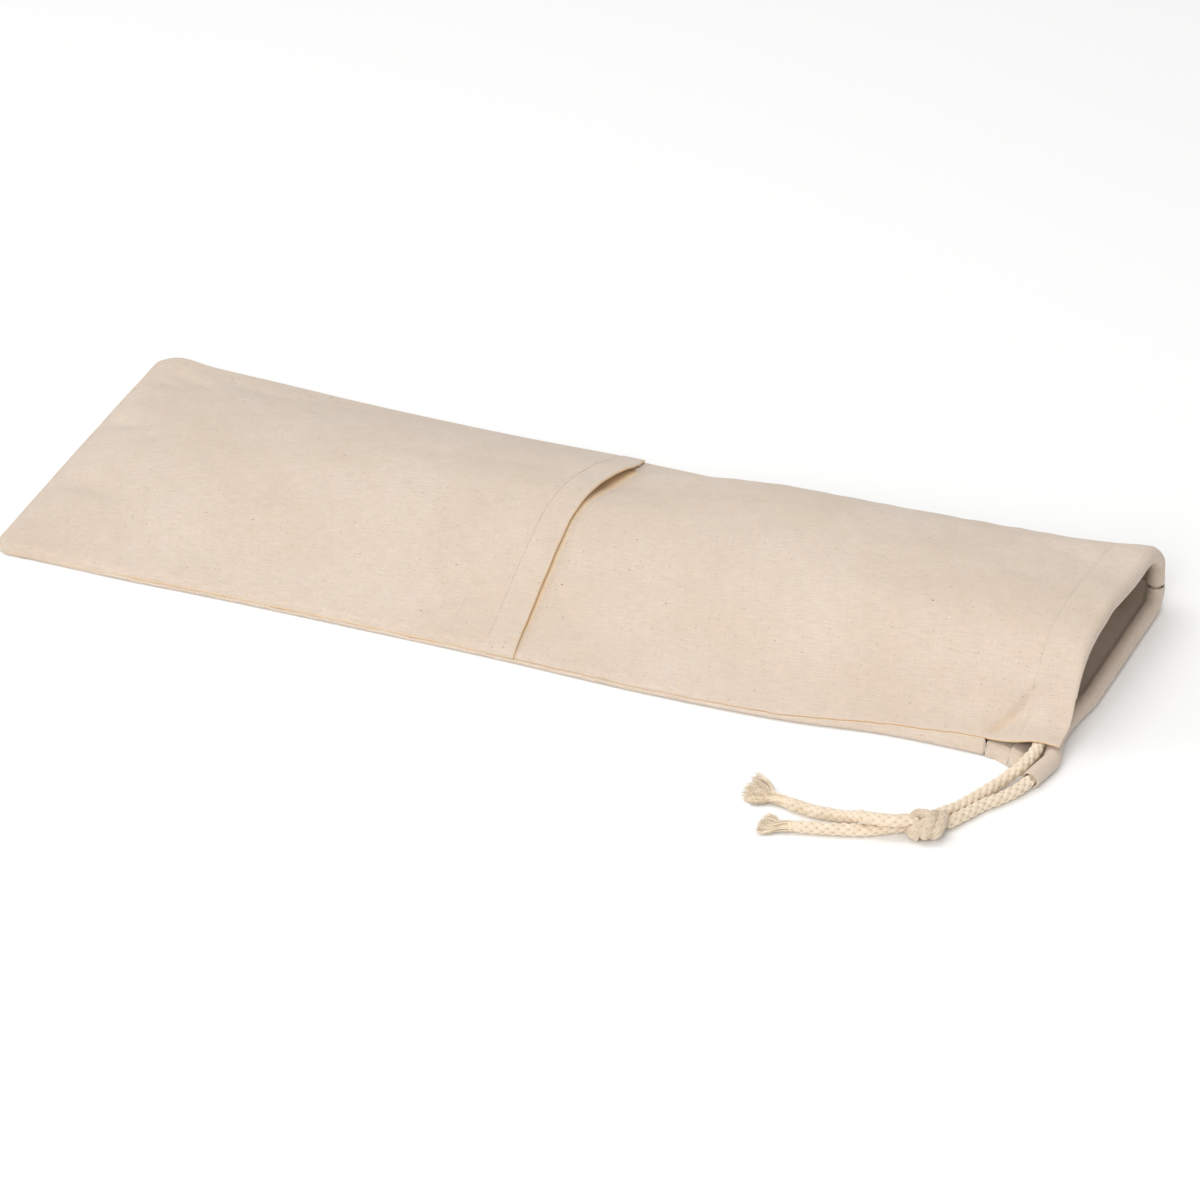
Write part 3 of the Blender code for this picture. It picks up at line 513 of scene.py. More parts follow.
def grid_of(rows, columns):
    """Flat places at every pair of a row and a column."""
    return np.stack(np.broadcast_arrays(rows[:, None], columns[None, :]), -1)


def uv_of_points(mesh):
    """Each point's place on the flat cloth, from the UV map."""
    flat = np.empty(len(mesh.loops) * 2)
    mesh.uv_layers["cloth"].data.foreach_get("uv", flat)
    places = np.zeros((len(mesh.vertices), 2))
    places[corners_of(mesh)] = flat.reshape(-1, 2)
    return places


def thicken(sheet, share):
    """Give a sheet the seams' thickness, times share at each point of the flat cloth.  The last half
    millimetre before an open edge is thinner, so that the edge is round."""
    mesh = sheet.data
    edges, ends = np.empty(len(mesh.loops), int), np.empty(len(mesh.edges) * 2, int)
    mesh.loops.foreach_get("edge_index", edges)
    mesh.edges.foreach_get("vertices", ends)
    first, last = ends.reshape(-1, 2).T
    open_edge = np.bincount(edges, minlength=len(mesh.edges)) == 1
    places = points_of(mesh)
    lengths = np.linalg.norm(places[first] - places[last], axis=1)
    away = np.full(len(places), 1.0)
    away[first[open_edge]] = away[last[open_edge]] = 0.0
    for _ in EDGE_STEPS:
        np.minimum.at(away, first, away[last] + lengths)
        np.minimum.at(away, last, away[first] + lengths)
    weights = np.interp(away, EDGE_STEPS, EDGE_WEIGHTS) * share(uv_of_points(mesh))
    group = sheet.vertex_groups.new(name="thickness")
    levels = np.rint(weights * WEIGHT_LEVELS).astype(int)
    for level in np.unique(levels):
        group.add(np.flatnonzero(levels == level).tolist(), level / WEIGHT_LEVELS, "REPLACE")
    solid = sheet.modifiers.new("thickness", "SOLIDIFY")
    solid.thickness = SEAM_FABRIC
    solid.offset = 0.0
    solid.vertex_group = "thickness"
    deselect_all()
    bpy.context.view_layer.objects.active = sheet
    sheet.select_set(True)
    bpy.ops.object.modifier_apply(modifier="thickness")
    bpy.ops.object.shade_smooth()
    print(sheet.name, "has", len(sheet.data.polygons), "faces")


# %% [markdown]
# ## The hem at the mouth
#
# The mouth's edge is turned in to make a tunnel for the cord, and stitched down 28 mm from the edge.
# The table is the hem's own section: out along the outer layer, round the cord and back to the
# stitching.  Near the slit the front's cord lies beside the back's, so the hem has other places there.

# %% The hem's section
# Each row: at and depth in the usual hem, at and depth at the slit.
HEM = (
    (0.6900, 0.0, 0.6900, 0.0),
    (0.6955, 0.0, 0.6955, 0.0),
    (0.7010, 0.0, 0.7010, 0.0),
    (0.7060, 0.0, 0.7070, 0.0),
    (0.7110, 0.0, 0.7130, 0.0),
    (0.7158, 0.0, 0.7184, 0.0),
    (0.7184, 0.00135, 0.71925, 0.00045),
    (0.7198, 0.0048, 0.71925, 0.00135),
    (0.7195, 0.0066, 0.7184, 0.0018),
    (0.7184, 0.0083, 0.7096, 0.0026),
    (0.7175, 0.0092, 0.7086, 0.0060),
    (0.7162, 0.00985, 0.7070, 0.0088),
    (0.7128, 0.00985, 0.7032, 0.0100),
    (0.7106, 0.0083, 0.6999, 0.0088),
    (0.7092, 0.0050, 0.6981, 0.0056),
    (0.7070, 0.0028, 0.6964, 0.0028),
    (0.7030, 0.0020, 0.6945, 0.0020),
    (0.6965, 0.0018, 0.6925, 0.0018),
    (0.6900, 0.0017, 0.6900, 0.0017),
)
HEM_STARTS = 0.690
HEM_OUTER_ROWS = 6           # rows of HEM that lie in the outer layer
HEM_ROWS = 64
TUNNEL_STARTS = 0.14         # the front hem's tunnel begins here, along the width
CORD_MOVED_OVER = 0.34       # and here its cord has moved over to the hem's usual place

hem_table = np.array(HEM)
hem_knots = lengths_along(hem_table[:, :2])
hem_marks = np.linspace(0.0, hem_knots[-1], HEM_ROWS)
hem_rows = read_curve(hem_knots, hem_table, hem_marks)
hem_outer = int(np.searchsorted(hem_marks, hem_knots[HEM_OUTER_ROWS]))
print("hem rows:", HEM_ROWS, "of which in the outer layer:", hem_outer)


def moved_over(along):
    return smooth_step((along - TUNNEL_STARTS) / (CORD_MOVED_OVER - TUNNEL_STARTS))


def hem_place(over):
    """Each hem row's place along the bag and depth; over is 0 at the slit and 1 in the usual hem."""
    at, depth, slit_at, slit_depth = hem_rows.T[:, :, None]
    return slit_at + (at - slit_at) * over, slit_depth + (depth - slit_depth) * over


# %% [markdown]
# ## Front, pocket and back
#
# The front is one cloth from the closed end to the mouth.  It is fine where it shows and coarser
# under the pocket.  The pocket lies on it and stands away from it at its opening, as a cloth does that
# is longer than what it lies on.  Each cloth has its own part of the woven pattern.

# %% Thicker cloth and painted shade at the seams' edges
SEAM_ALLOWANCE = 0.0065
SEAM_STEP = 0.002            # the thickness changes over this width
POCKET_PATTERN = 1.3         # added along the pocket's pattern
BACK_PATTERN = 0.6           # added across the back's
# the brown line at a cloth's edge is painted shade, where the seam's layers meet
PAINTED_SHADE_EDGE = 0.00025         # width of the brown line at a cloth's edge


def thinner(side, start):
    """The cloth's share of the seam's thickness: full at the edge, less from start on."""
    return 1.0 + (FABRIC / SEAM_FABRIC - 1.0) * smooth_step((side - start) / SEAM_STEP)


def seam_share(places):
    side = np.minimum(places[:, 1], CLOTH_WIDTH - places[:, 1])
    end = places[:, 0] % POCKET_PATTERN - CLOSED_END * (places[:, 0] < POCKET_PATTERN)
    return thinner(np.minimum(side, end), 0.7 * SEAM_ALLOWANCE)


def painted_edge_shade(places):
    """How brown the cloth's edges are painted at its seams: painted shade, where the layers meet."""
    at = places[..., 0] % POCKET_PATTERN
    side = np.minimum(places[..., 1], CLOTH_WIDTH - places[..., 1])
    return np.where((side < PAINTED_SHADE_EDGE) & (at < SLIT_START + 0.05), freed(at, 0.3, 1.0), 0.0)


print("a seam is", SEAM_FABRIC, "m thick and a single cloth", FABRIC)

# %% [markdown]
# The pocket's opening is a wavy edge that stands away from the front in its middle.  Under the edge
# the front is painted with a warm glow, for the light that thin cloth lets through there.

# %% The pocket's opening
# POCKET_LIFT has rows of a share of the width and how far the pocket stands off the front there.
# POCKET_LINE has rows of a share of the width and the place of the opening's edge.
POCKET_LIFT = ((0.00, 0.0002), (0.08, 0.0012), (0.18, 0.0022), (0.30, 0.0024), (0.40, 0.0016),
               (0.48, 0.0020), (0.55, 0.0046), (0.61, 0.0068), (0.67, 0.0073), (0.72, 0.0060),
               (0.77, 0.0032), (0.82, 0.0012), (0.90, 0.0005), (1.00, 0.0004))
POCKET_LINE = ((0.00, 0.3630), (0.06, 0.3620), (0.13, 0.3608), (0.22, 0.3604), (0.31, 0.3602),
               (0.38, 0.3597), (0.43, 0.3592), (0.49, 0.3603), (0.55, 0.3616), (0.62, 0.3628),
               (0.68, 0.3642), (0.73, 0.3662), (0.77, 0.3674), (0.80, 0.3650), (0.84, 0.3612),
               (0.90, 0.3592), (1.00, 0.3585))
# painted light: how strongly a warm glow is painted under the pocket's opening
OPENING_PAINTED_GLOW = 0.80
FAR_TIP_BACK = 0.0065        # how far the opening's edge is drawn in at the far seam,
FAR_TIP_FROM = 0.87          # from this share of the width on


def opening_line(along):
    """The opening edge's place along the bag, at shares of the width."""
    drawn_in = smooth_step((along - FAR_TIP_FROM) / (1.0 - FAR_TIP_FROM))
    return look_up(POCKET_LINE, along) - FAR_TIP_BACK * drawn_in


def opening_lift(along):
    return np.maximum(look_up(POCKET_LIFT, along), 0.0)


def painted_opening_glow(places):
    """Negative where the front goes under the pocket's edge, where a warm glow is painted, for the
    light that thin cloth lets in."""
    along = np.clip(places[..., 1] / CLOTH_WIDTH, 0.0, 1.0)
    lift = opening_lift(along)
    past = (places[..., 0] - opening_line(along)) / (0.0012 + 0.7 * lift)
    shade = OPENING_PAINTED_GLOW * (1.0 - smooth_step(past)) * smooth_step(lift / 0.0015)
    return -shade * (places[..., 0] < 0.5)


print("the opening stands up to", round(float(opening_lift(LINE_SHARES).max()), 4), "m off the front")

# %% [markdown]
# The front's grid is coarse under the pocket, fine where it shows and finest before the hem.  The
# hem's rows belong to the same grid, because a hem is the same cloth, folded.

# %% The front cloth
# Each row: where the painted brown shade of a crease starts and ends, its tone and its half width, in
# metres.
SLIT_CREASE_SHADE = ((0.672, 0.006, 0.684, 0.030, 0.42, 0.0026), (0.666, 0.014, 0.676, 0.034, 0.22, 0.0020))
FRONT_END = 0.6896           # the single cloth's rows stop here, and the hem's rows follow
COLUMN_STEP = 0.0021

across = edged(0.0, CLOTH_WIDTH, COLUMN_STEP)
shares = across / CLOTH_WIDTH
along = shares[None, :]
front_rows = np.concatenate((CLOSED_END + EDGE_STEPS, np.arange(0.008, 0.330, 0.006),
                             np.arange(0.334, 0.6870, 0.0021), np.arange(0.6876, FRONT_END, 0.0006)))
at = front_rows[:, None]
outer = bent_down(raised(at, along, 0.0), at, along, lowest=freed(at, 0.0014, 0.0019))
hem_at, hem_depth = hem_place(moved_over(along))
turned = raised(hem_at, along, -hem_depth)
front_cloth = grid_of(np.concatenate((front_rows, hem_marks + HEM_STARTS)), across)
first_in_tunnel = int(np.searchsorted(shares, TUNNEL_STARTS))
inner_row = len(front_rows) + hem_outer
# painted shade in the creases by the slit; with it go the painted shade at the seams' edges and the
# painted warm glow under the pocket's opening
crease_painted_shade = hollows(SLIT_CREASE_SHADE, front_cloth[..., 0], front_cloth[..., 1])
front_painted_light = (painted_edge_shade(front_cloth) + painted_opening_glow(front_cloth)
              + crease_painted_shade * (front_cloth[..., 0] < FRONT_END))
front_sheet = lay_out("front_cloth", np.concatenate((outer, turned)), front_cloth, front_painted_light,
                      keep=lambda row, column: (row < inner_row) | (column >= first_in_tunnel))
thicken(front_sheet, seam_share)

# %% [markdown]
# The pocket is made in the same way.  Its edge is folded under and stitched down, so the grid goes
# round the fold and back to the stitches.  The fold is painted a little browner, as painted shade.

# %% The pocket
POCKET_LINE_START = 0.31
POCKET_LIFT_START = 0.25
LESS_LIFT = 0.72             # the cloth is thinner than the solid model's, and stands off less
POCKET_OVER = 0.0013         # how far the pocket's edge laps over the front's, at the near seam
POCKET_HEM = 0.0185          # depth of the pocket's own hem, at its opening
POCKET_STITCHES = POCKET_EDGE - POCKET_HEM
HEM_RISE = 0.00036           # how far a hem's outer layer stands over the single cloth
FOLD_RADIUS = HEM_RISE + 0.0001
FOLD_TURN = np.linspace(0.0, math.pi, 9)[1:-1]
# the folded edge's brown is painted shade
FOLD_PAINTED_SHADE = 0.8              # how brown the folded edge is


def pocket_gap(at, along):
    share = smooth_step((at - POCKET_LIFT_START) / (POCKET_EDGE - POCKET_LIFT_START))
    return CLOTH + 2.0 * GAP + LESS_LIFT * opening_lift(along) * share


def pocket_at(at, along):
    """A pocket row's place along the bag: the last rows follow the line of its opening edge."""
    share = smooth_step((at - POCKET_LINE_START) / (POCKET_EDGE - POCKET_LINE_START))
    return at + (opening_line(along) - POCKET_EDGE) * share


outer_rows = np.concatenate((CLOSED_END + EDGE_STEPS, np.linspace(0.0055, 0.3350, 157),
                             np.arange(0.3356, 0.3430, 0.0006),
                             np.linspace(0.3440, POCKET_EDGE - FOLD_RADIUS, 9)))
rise = HEM_RISE * smooth_step((outer_rows - POCKET_STITCHES) / 0.0025)
rise -= 0.3 * stitch_groove(outer_rows, POCKET_STITCHES)
pocket_rows = np.concatenate((outer_rows, POCKET_EDGE - FOLD_RADIUS * (1.0 - np.sin(FOLD_TURN)),
                              np.linspace(POCKET_EDGE - FOLD_RADIUS, POCKET_STITCHES, 10)))
pocket_lifts = np.concatenate((rise, HEM_RISE - FOLD_RADIUS * (1.0 - np.cos(FOLD_TURN)),
                               np.full(10, HEM_RISE - 2 * FOLD_RADIUS)))
row = pocket_rows[:, None]
at = pocket_at(row, along)
pocket_points = bent_down(raised(at, along, pocket_gap(row, along) + pocket_lifts[:, None]), at, along,
                          lowest=freed(row, 0.0020, 0.0028),
                          over=freed(row, 2.0 * POCKET_OVER, POCKET_OVER))
run = lengths_along(np.column_stack((pocket_rows, pocket_lifts)))
pocket_cloth = grid_of(run + POCKET_PATTERN, across)
pocket_painted_shade = painted_edge_shade(pocket_cloth)
# painted shade on the rows of the fold
shaded_fold = slice(len(outer_rows), len(outer_rows) + 10)
pocket_painted_shade[shaded_fold] = np.maximum(pocket_painted_shade[shaded_fold], FOLD_PAINTED_SHADE)
pocket_sheet = lay_out("pocket_cloth", pocket_points, pocket_cloth, pocket_painted_shade)
thicken(pocket_sheet, seam_share)

# %% [markdown]
# The back lies on the table.  Its two sides turn up to meet the front at the seams, and past the near
# seam's end its edge spreads out where the slit lets it, behind a flap that stays up for a while.

# %% The back cloth's tables
# SLIT_EDGE has rows of at and y, HEM_LEAN of y and lean, and FLAP_RISE of at and height.
SLIT_EDGE = ((0.6720, 0.0086), (0.6750, 0.0078), (0.6848, 0.0036), (0.6944, -0.0011),
             (0.7010, -0.0048), (0.7060, -0.0092), (0.7090, -0.0146), (0.7120, -0.0168),
             (0.7200, -0.0176))
HEM_LEAN = ((-0.0300, -0.0070), (-0.0200, -0.0042), (-0.0130, -0.0020), (-0.0030, 0.0012),
            (0.0075, 0.0018), (0.0170, 0.0), (0.0300, -0.0034), (0.0480, -0.0042), (0.0850, 0.0))
FLAP_RISE = ((0.666, 0.0076), (0.672, 0.0074), (0.680, 0.0070), (0.687, 0.0064), (0.693, 0.0046),
             (0.698, 0.0022), (0.702, 0.0))
FLAP_RIDGE = 0.0100          # y at which the flap is highest
SEAM_ENDS = SLIT_START + 0.0020
FAR_APART = 0.00125          # from the front's far edge to the back's far lip
LIP_REACH = 0.0009           # how far the near lip may stand out where the layers are pressed
LIP_CLEAR = 0.0004           # from the tip of the back's near lip to the front's edge, across
LIP_RADIUS = 0.0022          # the smallest radius with which a lip turns up
FAR_RADIUS = 0.0165          # and the largest
LIP_FOOT = 0.014             # y where the near lip's foot lies on the table, past the seam's end
FAR_EASE = 0.15              # how much deeper the back's hem gets where the front's cord comes in
HEM_CLOSES = 0.008           # the back hem's near side is pressed flat over this width,
HEM_CLOSED = 0.0009          # to this depth,
HEM_OPENS_AT = 0.7045        # and lets the cord out from here on
FLOOR = CLOTH / 2            # height of the back's middle surface on the table
NEAR_STEPS, RUN_STEPS, FAR_STEPS = 10, 46, 14
print("the flap stands up to", max(height for at, height in FLAP_RISE), "m")

# %% [markdown]
# A section of the back runs from the tip of its near lip down to the table, across, and up to the tip
# of its far lip.  Each lip is a quarter round, and is pressed flat at the closed end.

# %% The back cloth's section
def turned_up(height, radius, flat, steps):
    """A cloth edge turned up to height, from its tip to the surface, as offsets from the fold."""
    bend = np.linspace(0.0, math.pi / 2, steps)
    up = np.column_stack((radius * (1.0 - np.cos(bend)), FLOOR + radius * (1.0 - np.sin(bend))))
    tip = np.array((0.0, height))
    ease = np.array((0.0, 0.0001, 0.0004)) / max(height - FLOOR - radius, 0.0008)
    up = np.concatenate((tip + (up[0] - tip) * ease[:, None], up))
    lengths = lengths_along(up)
    laid = np.column_stack((lengths - lengths[-1] + radius, np.full(len(up), FLOOR)))
    return up * (1.0 - flat) + laid * flat


def flap_rise(at, y, edge):
    """Past the seam's end the back's lip falls outwards, and stays up behind its edge for a while."""
    height = look_up(FLAP_RISE, at) * smooth_step((at - SEAM_ENDS) / 0.0020)
    up = smooth_step((y - edge) / (FLAP_RIDGE - edge))
    return height * up * (1.0 - smooth_step((y - FLAP_RIDGE - 0.006) / 0.020))


def near_lip_at(at, near, fold, flat):
    """The near lip, turned up to the front's near edge."""
    tip = max(near[1] + 0.0002 - float(seam_low(at)), 0.0020) + float(seam_wave(at))
    lip = turned_up(tip, min(LIP_RADIUS, tip - 0.0008), flat, NEAR_STEPS) + (fold, 0.0)
    reach = max(near[0] - LIP_CLEAR - fold, 0.0) * (1.0 - flat)
    lip[:, 0] += reach * np.clip((lip[:, 1] - lip[3, 1]) / (lip[0, 1] - lip[3, 1] + 1e-9), 0.0, 1.0)
    foot = lip[-1, 0]
    squeeze = (foot - near[0] + LIP_REACH) / (foot - lip[:, 0].min())
    lip[:, 0] = foot + (lip[:, 0] - foot) * freed(at, min(1.0, max(0.3, squeeze)), 1.0)
    return lip


def back_section(at):
    """The back cloth's points across the bag: its near lip, the run on the table and its far lip."""
    points = read_curve(STATIONS, POINTS, [at])[0]
    fold = read_curve(STATIONS, FOLDS, [at])[0]
    flat = 1.0 - smooth_step((at - CLOSED_END - 0.006) / 0.030)
    near_lip = near_lip_at(at, points[0], fold, flat)
    spread = smooth_step((at - SEAM_ENDS) / 0.0028)
    edge = min(float(look_up(SLIT_EDGE, at)), fold - 0.0005)
    lengths = lengths_along(near_lip)
    laid = edge + (LIP_FOOT - edge) * lengths / lengths[-1]
    near_lip = near_lip * (1 - spread) + np.column_stack((laid, np.full(len(laid), FLOOR))) * spread
    far, far_height = points[-1]
    far_tip = max(far_height + 0.0005, 0.0036)
    far_curl = min(max(far_tip - 0.0030, LIP_RADIUS), FAR_RADIUS)
    far_lip = turned_up(far_tip, far_curl, flat, FAR_STEPS) * (-1.0, 1.0) + (far + FAR_APART, 0.0)
    run = np.linspace(near_lip[-1][0], far_lip[-1][0], RUN_STEPS + 2)[1:-1]
    section = np.concatenate((near_lip, np.column_stack((run, np.full(len(run), FLOOR))),
                              far_lip[::-1]))
    section[:, 1] = np.maximum(section[:, 1], FLOOR + flap_rise(at, section[:, 0], edge))
    return section


print("a section of the back has", len(back_section(POCKET_EDGE)), "points")

# %% [markdown]
# The sections are set one behind the other, and the hem's rows follow.  Each of them is the section at
# its own place, moved inwards by its depth in the hem.  The hem's edge leans to and fro by the slit.

# %% The back cloth
back_rows = np.concatenate((CLOSED_END + EDGE_STEPS, np.linspace(0.0055, 0.664, 200),
                            np.arange(0.6660, 0.6765, 0.0008), np.linspace(0.6775, 0.6885, 6)))
back_points, back_cloth = [], []


def add_back_row(at, pattern_at, y, z, section):
    back_points.append(np.column_stack((at, y, z)))
    back_cloth.append(np.column_stack((np.full(len(section), pattern_at),
                                       lengths_along(section) + BACK_PATTERN)))


for at in back_rows:
    section = back_section(at)
    width = section[-1][0] - section[0][0]
    shift = end_corner(at - CLOSED_END, CLOTH_WIDTH * (section[:, 0] - section[0][0]) / width)
    add_back_row(at + shift, at, *section.T, section)
far_ramp = np.zeros(len(section))
far_ramp[-(FAR_STEPS + 3):-3] = smooth_step((4.0 * np.linspace(0, 1, FAR_STEPS) - 1.0) / 3.0)
far_ramp[-3:] = 1.0
hem_usual, depth_usual = (column[:, 0] for column in hem_place(np.ones(1)))
for at, depth, mark in zip(hem_usual, depth_usual, hem_marks):
    section = back_section(at)
    tangent = np.empty_like(section)
    tangent[1:-1] = section[2:] - section[:-2]
    tangent[0], tangent[-1] = section[1] - section[0], section[-1] - section[-2]
    tangent /= np.linalg.norm(tangent, axis=1, keepdims=True)
    lean = look_up(HEM_LEAN, section[:, 0]) * smooth_step((at - HEM_STARTS) / 0.018)
    deep = depth * (1.0 + FAR_EASE * far_ramp * (depth > 0.004))
    closed = 1.0 - smooth_step(lengths_along(section) / HEM_CLOSES)
    closed *= 1.0 - smooth_step((at - HEM_OPENS_AT) / 0.003)
    deep = np.minimum(deep, HEM_CLOSED) * closed + deep * (1.0 - closed)
    add_back_row(at + lean, HEM_STARTS + mark, section[:, 0] - tangent[:, 1] * deep,
                 section[:, 1] + tangent[:, 0] * deep, section)
back_points, back_cloth = np.array(back_points), np.array(back_cloth)
back_width = float(np.median(back_cloth[:, -1, 1])) - BACK_PATTERN
# painted shade at the back's seam edges
back_painted_shade = painted_edge_shade(back_cloth - (0.0, BACK_PATTERN)) * (back_points[..., 0] < SLIT_START)
back_inner, back_last = len(back_rows) + hem_outer - 2, len(section) - 4


def back_share(places):
    return thinner(np.minimum(places[:, 1] - BACK_PATTERN, BACK_PATTERN + back_width - places[:, 1]),
                   0.002)


back_sheet = lay_out("back_cloth", back_points, back_cloth, back_painted_shade,
                     keep=lambda row, column: (row < back_inner) | (column < back_last))
thicken(back_sheet, back_share)

# %% [markdown]
# ## Sewing
#
# Rows of straight stitches hold both hems down, and a short dense bar of stitches strengthens the
# seam where the slit begins.  One stitch is modelled, and its copies are laid along each row.

# %% One stitch
STITCH_LENGTH = 0.0023
STITCH_STEP = 0.0030
THREAD_RADIUS = 0.00013
UPWARDS = (0.0, 0.0, 1.0)

deselect_all()
bpy.ops.mesh.primitive_uv_sphere_add(segments=6, ring_count=6, radius=THREAD_RADIUS,
                                     rotation=(0, math.pi / 2, 0))
stitch = bpy.context.object
stitch.name = stitch.data.name = "stitch"
bpy.ops.object.transform_apply(rotation=True)
for point in stitch.data.vertices:
    if abs(point.co.x) > 0.00001:
        point.co.x += math.copysign(STITCH_LENGTH / 2 - THREAD_RADIUS, point.co.x)
bpy.ops.object.shade_smooth()
stitch_points = points_of(stitch.data)
print("one stitch has", len(stitch.data.polygons), "faces")


def copy_of(piece):
    """A copy of a piece with its own mesh."""
    copy = piece.copy()
    copy.data = piece.data.copy()
    bpy.context.scene.collection.objects.link(copy)
    return copy


def join(name, parts):
    deselect_all()
    for part in parts:
        part.select_set(True)
    bpy.context.view_layer.objects.active = parts[0]
    bpy.ops.object.join()
    joined = bpy.context.object
    joined.name = joined.data.name = name
    print(name, "is", len(parts), "parts and has", len(joined.data.polygons), "faces")
    return joined


def sew(name, ends):
    """Copies of the stitch between pairs of points, joined; up is the cloth's outside."""
    copies = []
    for start, stop, up in ends:
        run = np.subtract(stop, start)
        along = run / np.linalg.norm(run)
        side = np.cross(up, along)
        side /= np.linalg.norm(side)
        stretch = stitch_points * (np.linalg.norm(run) / STITCH_LENGTH, 1.25, 1.0)
        laid = (np.array(start) + stop) / 2 - ORIGIN
        laid = laid + stretch @ np.array((along, side, np.cross(along, side)))
        copies.append(copy_of(stitch))
        copies[-1].data.vertices.foreach_set("co", laid.ravel())
    return join(name, copies)


def stitch_row(place, first, last):
    """Ends of the stitches of a row across the bag; place gives points at shares of the width."""
    marks = np.arange(first, last, STITCH_STEP)
    ends = place(marks / CLOTH_WIDTH), place((marks + STITCH_LENGTH) / CLOTH_WIDTH)
    return [(start, stop, UPWARDS) for start, stop in zip(*ends)]


# %% [markdown]
# A stitch lies on the cloth, so each row takes its places from the cloth's own surface.

# %% The rows of stitches
def mouth_row(share):
    return raised(MOUTH_STITCHES, share, FABRIC / 2 + 0.00004)


def pocket_row(share):
    at = pocket_at(np.full(share.shape, POCKET_STITCHES), share)
    lift = pocket_gap(POCKET_STITCHES, share) - STITCH_GROOVE / 2 + FABRIC / 2 + 0.0002
    return raised(at, share, lift)


mouth_stitching = sew("mouth_stitching", stitch_row(mouth_row, 0.006, 0.259))
pocket_stitching = sew("pocket_stitching", stitch_row(pocket_row, 0.006, 0.256))

# %% [markdown]
# The bar is a few stitches side by side that go over the seam, from the front down to the back's lip.

# %% The bar at the slit's start
BAR_STITCHES = 9
BAR_AT = 0.6682
BAR_STEP = 0.00038
bar = []
for k in range(BAR_STITCHES):
    at = BAR_AT + k * BAR_STEP
    foot = back_section(at)[NEAR_STEPS - 1]
    top = raised(at, 0.0006 / CLOTH_WIDTH, FABRIC / 2 + 0.0002)
    low = np.array((at, foot[0] - FABRIC / 2, max(foot[1] - 0.0005, 0.0012)))
    middle = np.array((at, (top[1] + low[1]) / 2 - 0.0006, (top[2] + low[2]) / 2 + 0.0004))
    bar += [(top, middle, (0.0, -0.7, 0.7)), (middle, low, (0.0, -1.0, 0.2))]
slit_bar = sew("slit_bar", bar)
bpy.data.objects.remove(stitch, do_unlink=True)

# %% [markdown]
# ## The braided cord
#
# A soft cotton cord is a hollow braid: four strands wind one way round it and four the other way, and
# each goes over one and under the next.  Here the cord is a fine tube whose points move in and out by
# the height of the strand on top, so that the plait is true shape and its outline is bumpy.

# %% Height of the braid
STRANDS = 4                  # strands that wind each way
BRAID_TURN = 0.0256          # length of cord in which a strand goes once round
STRAND_DOME = 0.00105        # how round a strand stands
STRAND_DIVE = 0.00048        # how far it dips under its neighbour
RELIEF = STRAND_DOME + STRAND_DIVE
# painted shade: below this share of the relief the plait is painted darker
PAINTED_SHADE_SHARE = 0.66          # below this share of the relief the surface darkens
RIBS = 15                    # fine yarns that show where the cord is pulled tight
RIB_TURN = 0.11              # length of cord in which these yarns go once round
RIB_HEIGHT = 0.00052


def braid(turn, run):
    """Height of the plait's surface at a turn round and a run along."""
    a = STRANDS * (turn + run / BRAID_TURN)
    b = STRANDS * (turn - run / BRAID_TURN)
    over = np.where((np.floor(a) + np.floor(b)) % 2 == 0, 1.0, -1.0)
    heights = []
    for one, other, sign in ((a, b, over), (b, a, -over)):
        dome = np.sqrt(np.maximum(0.0, 1.0 - (2.0 * (one % 1.0) - 1.0) ** 2))
        heights.append(STRAND_DOME * dome + STRAND_DIVE * sign * np.sin(math.pi * (other % 1.0)))
    return np.maximum(*heights)


def tight_braid(turn, run):
    """The same plait pulled tight in the knot: its strands are flatter and their yarns show."""
    ribs = np.abs(np.sin(math.pi * RIBS * (turn + run / RIB_TURN)))
    return RELIEF * 0.56 + 0.34 * braid(turn, run * 1.3) + RIB_HEIGHT * (ribs - 0.6)


print("the braid stands", round(RELIEF, 5), "m over its core")

# %% [markdown]
# A tube needs a steady frame along its route, or its plait would twist where the cord bends.  Each
# frame is the last one, tilted only as far as the route turns.  The depth of the grooves is kept as an
# attribute, so that the material can paint shade into them.

# %% Tubes along a route
def frames_along(route):
    """Two crosswise directions at each point of a route, carried along without twist."""
    tangents = np.gradient(route, axis=0)
    tangents /= np.linalg.norm(tangents, axis=1, keepdims=True)
    side = np.cross(tangents[0], UPWARDS)
    side /= np.linalg.norm(side)
    sides = []
    for tangent in tangents:
        side = side - tangent * float(side @ tangent)
        side /= np.linalg.norm(side)
        sides.append(side)
    sides = np.array(sides)
    return sides, np.cross(sides, tangents)


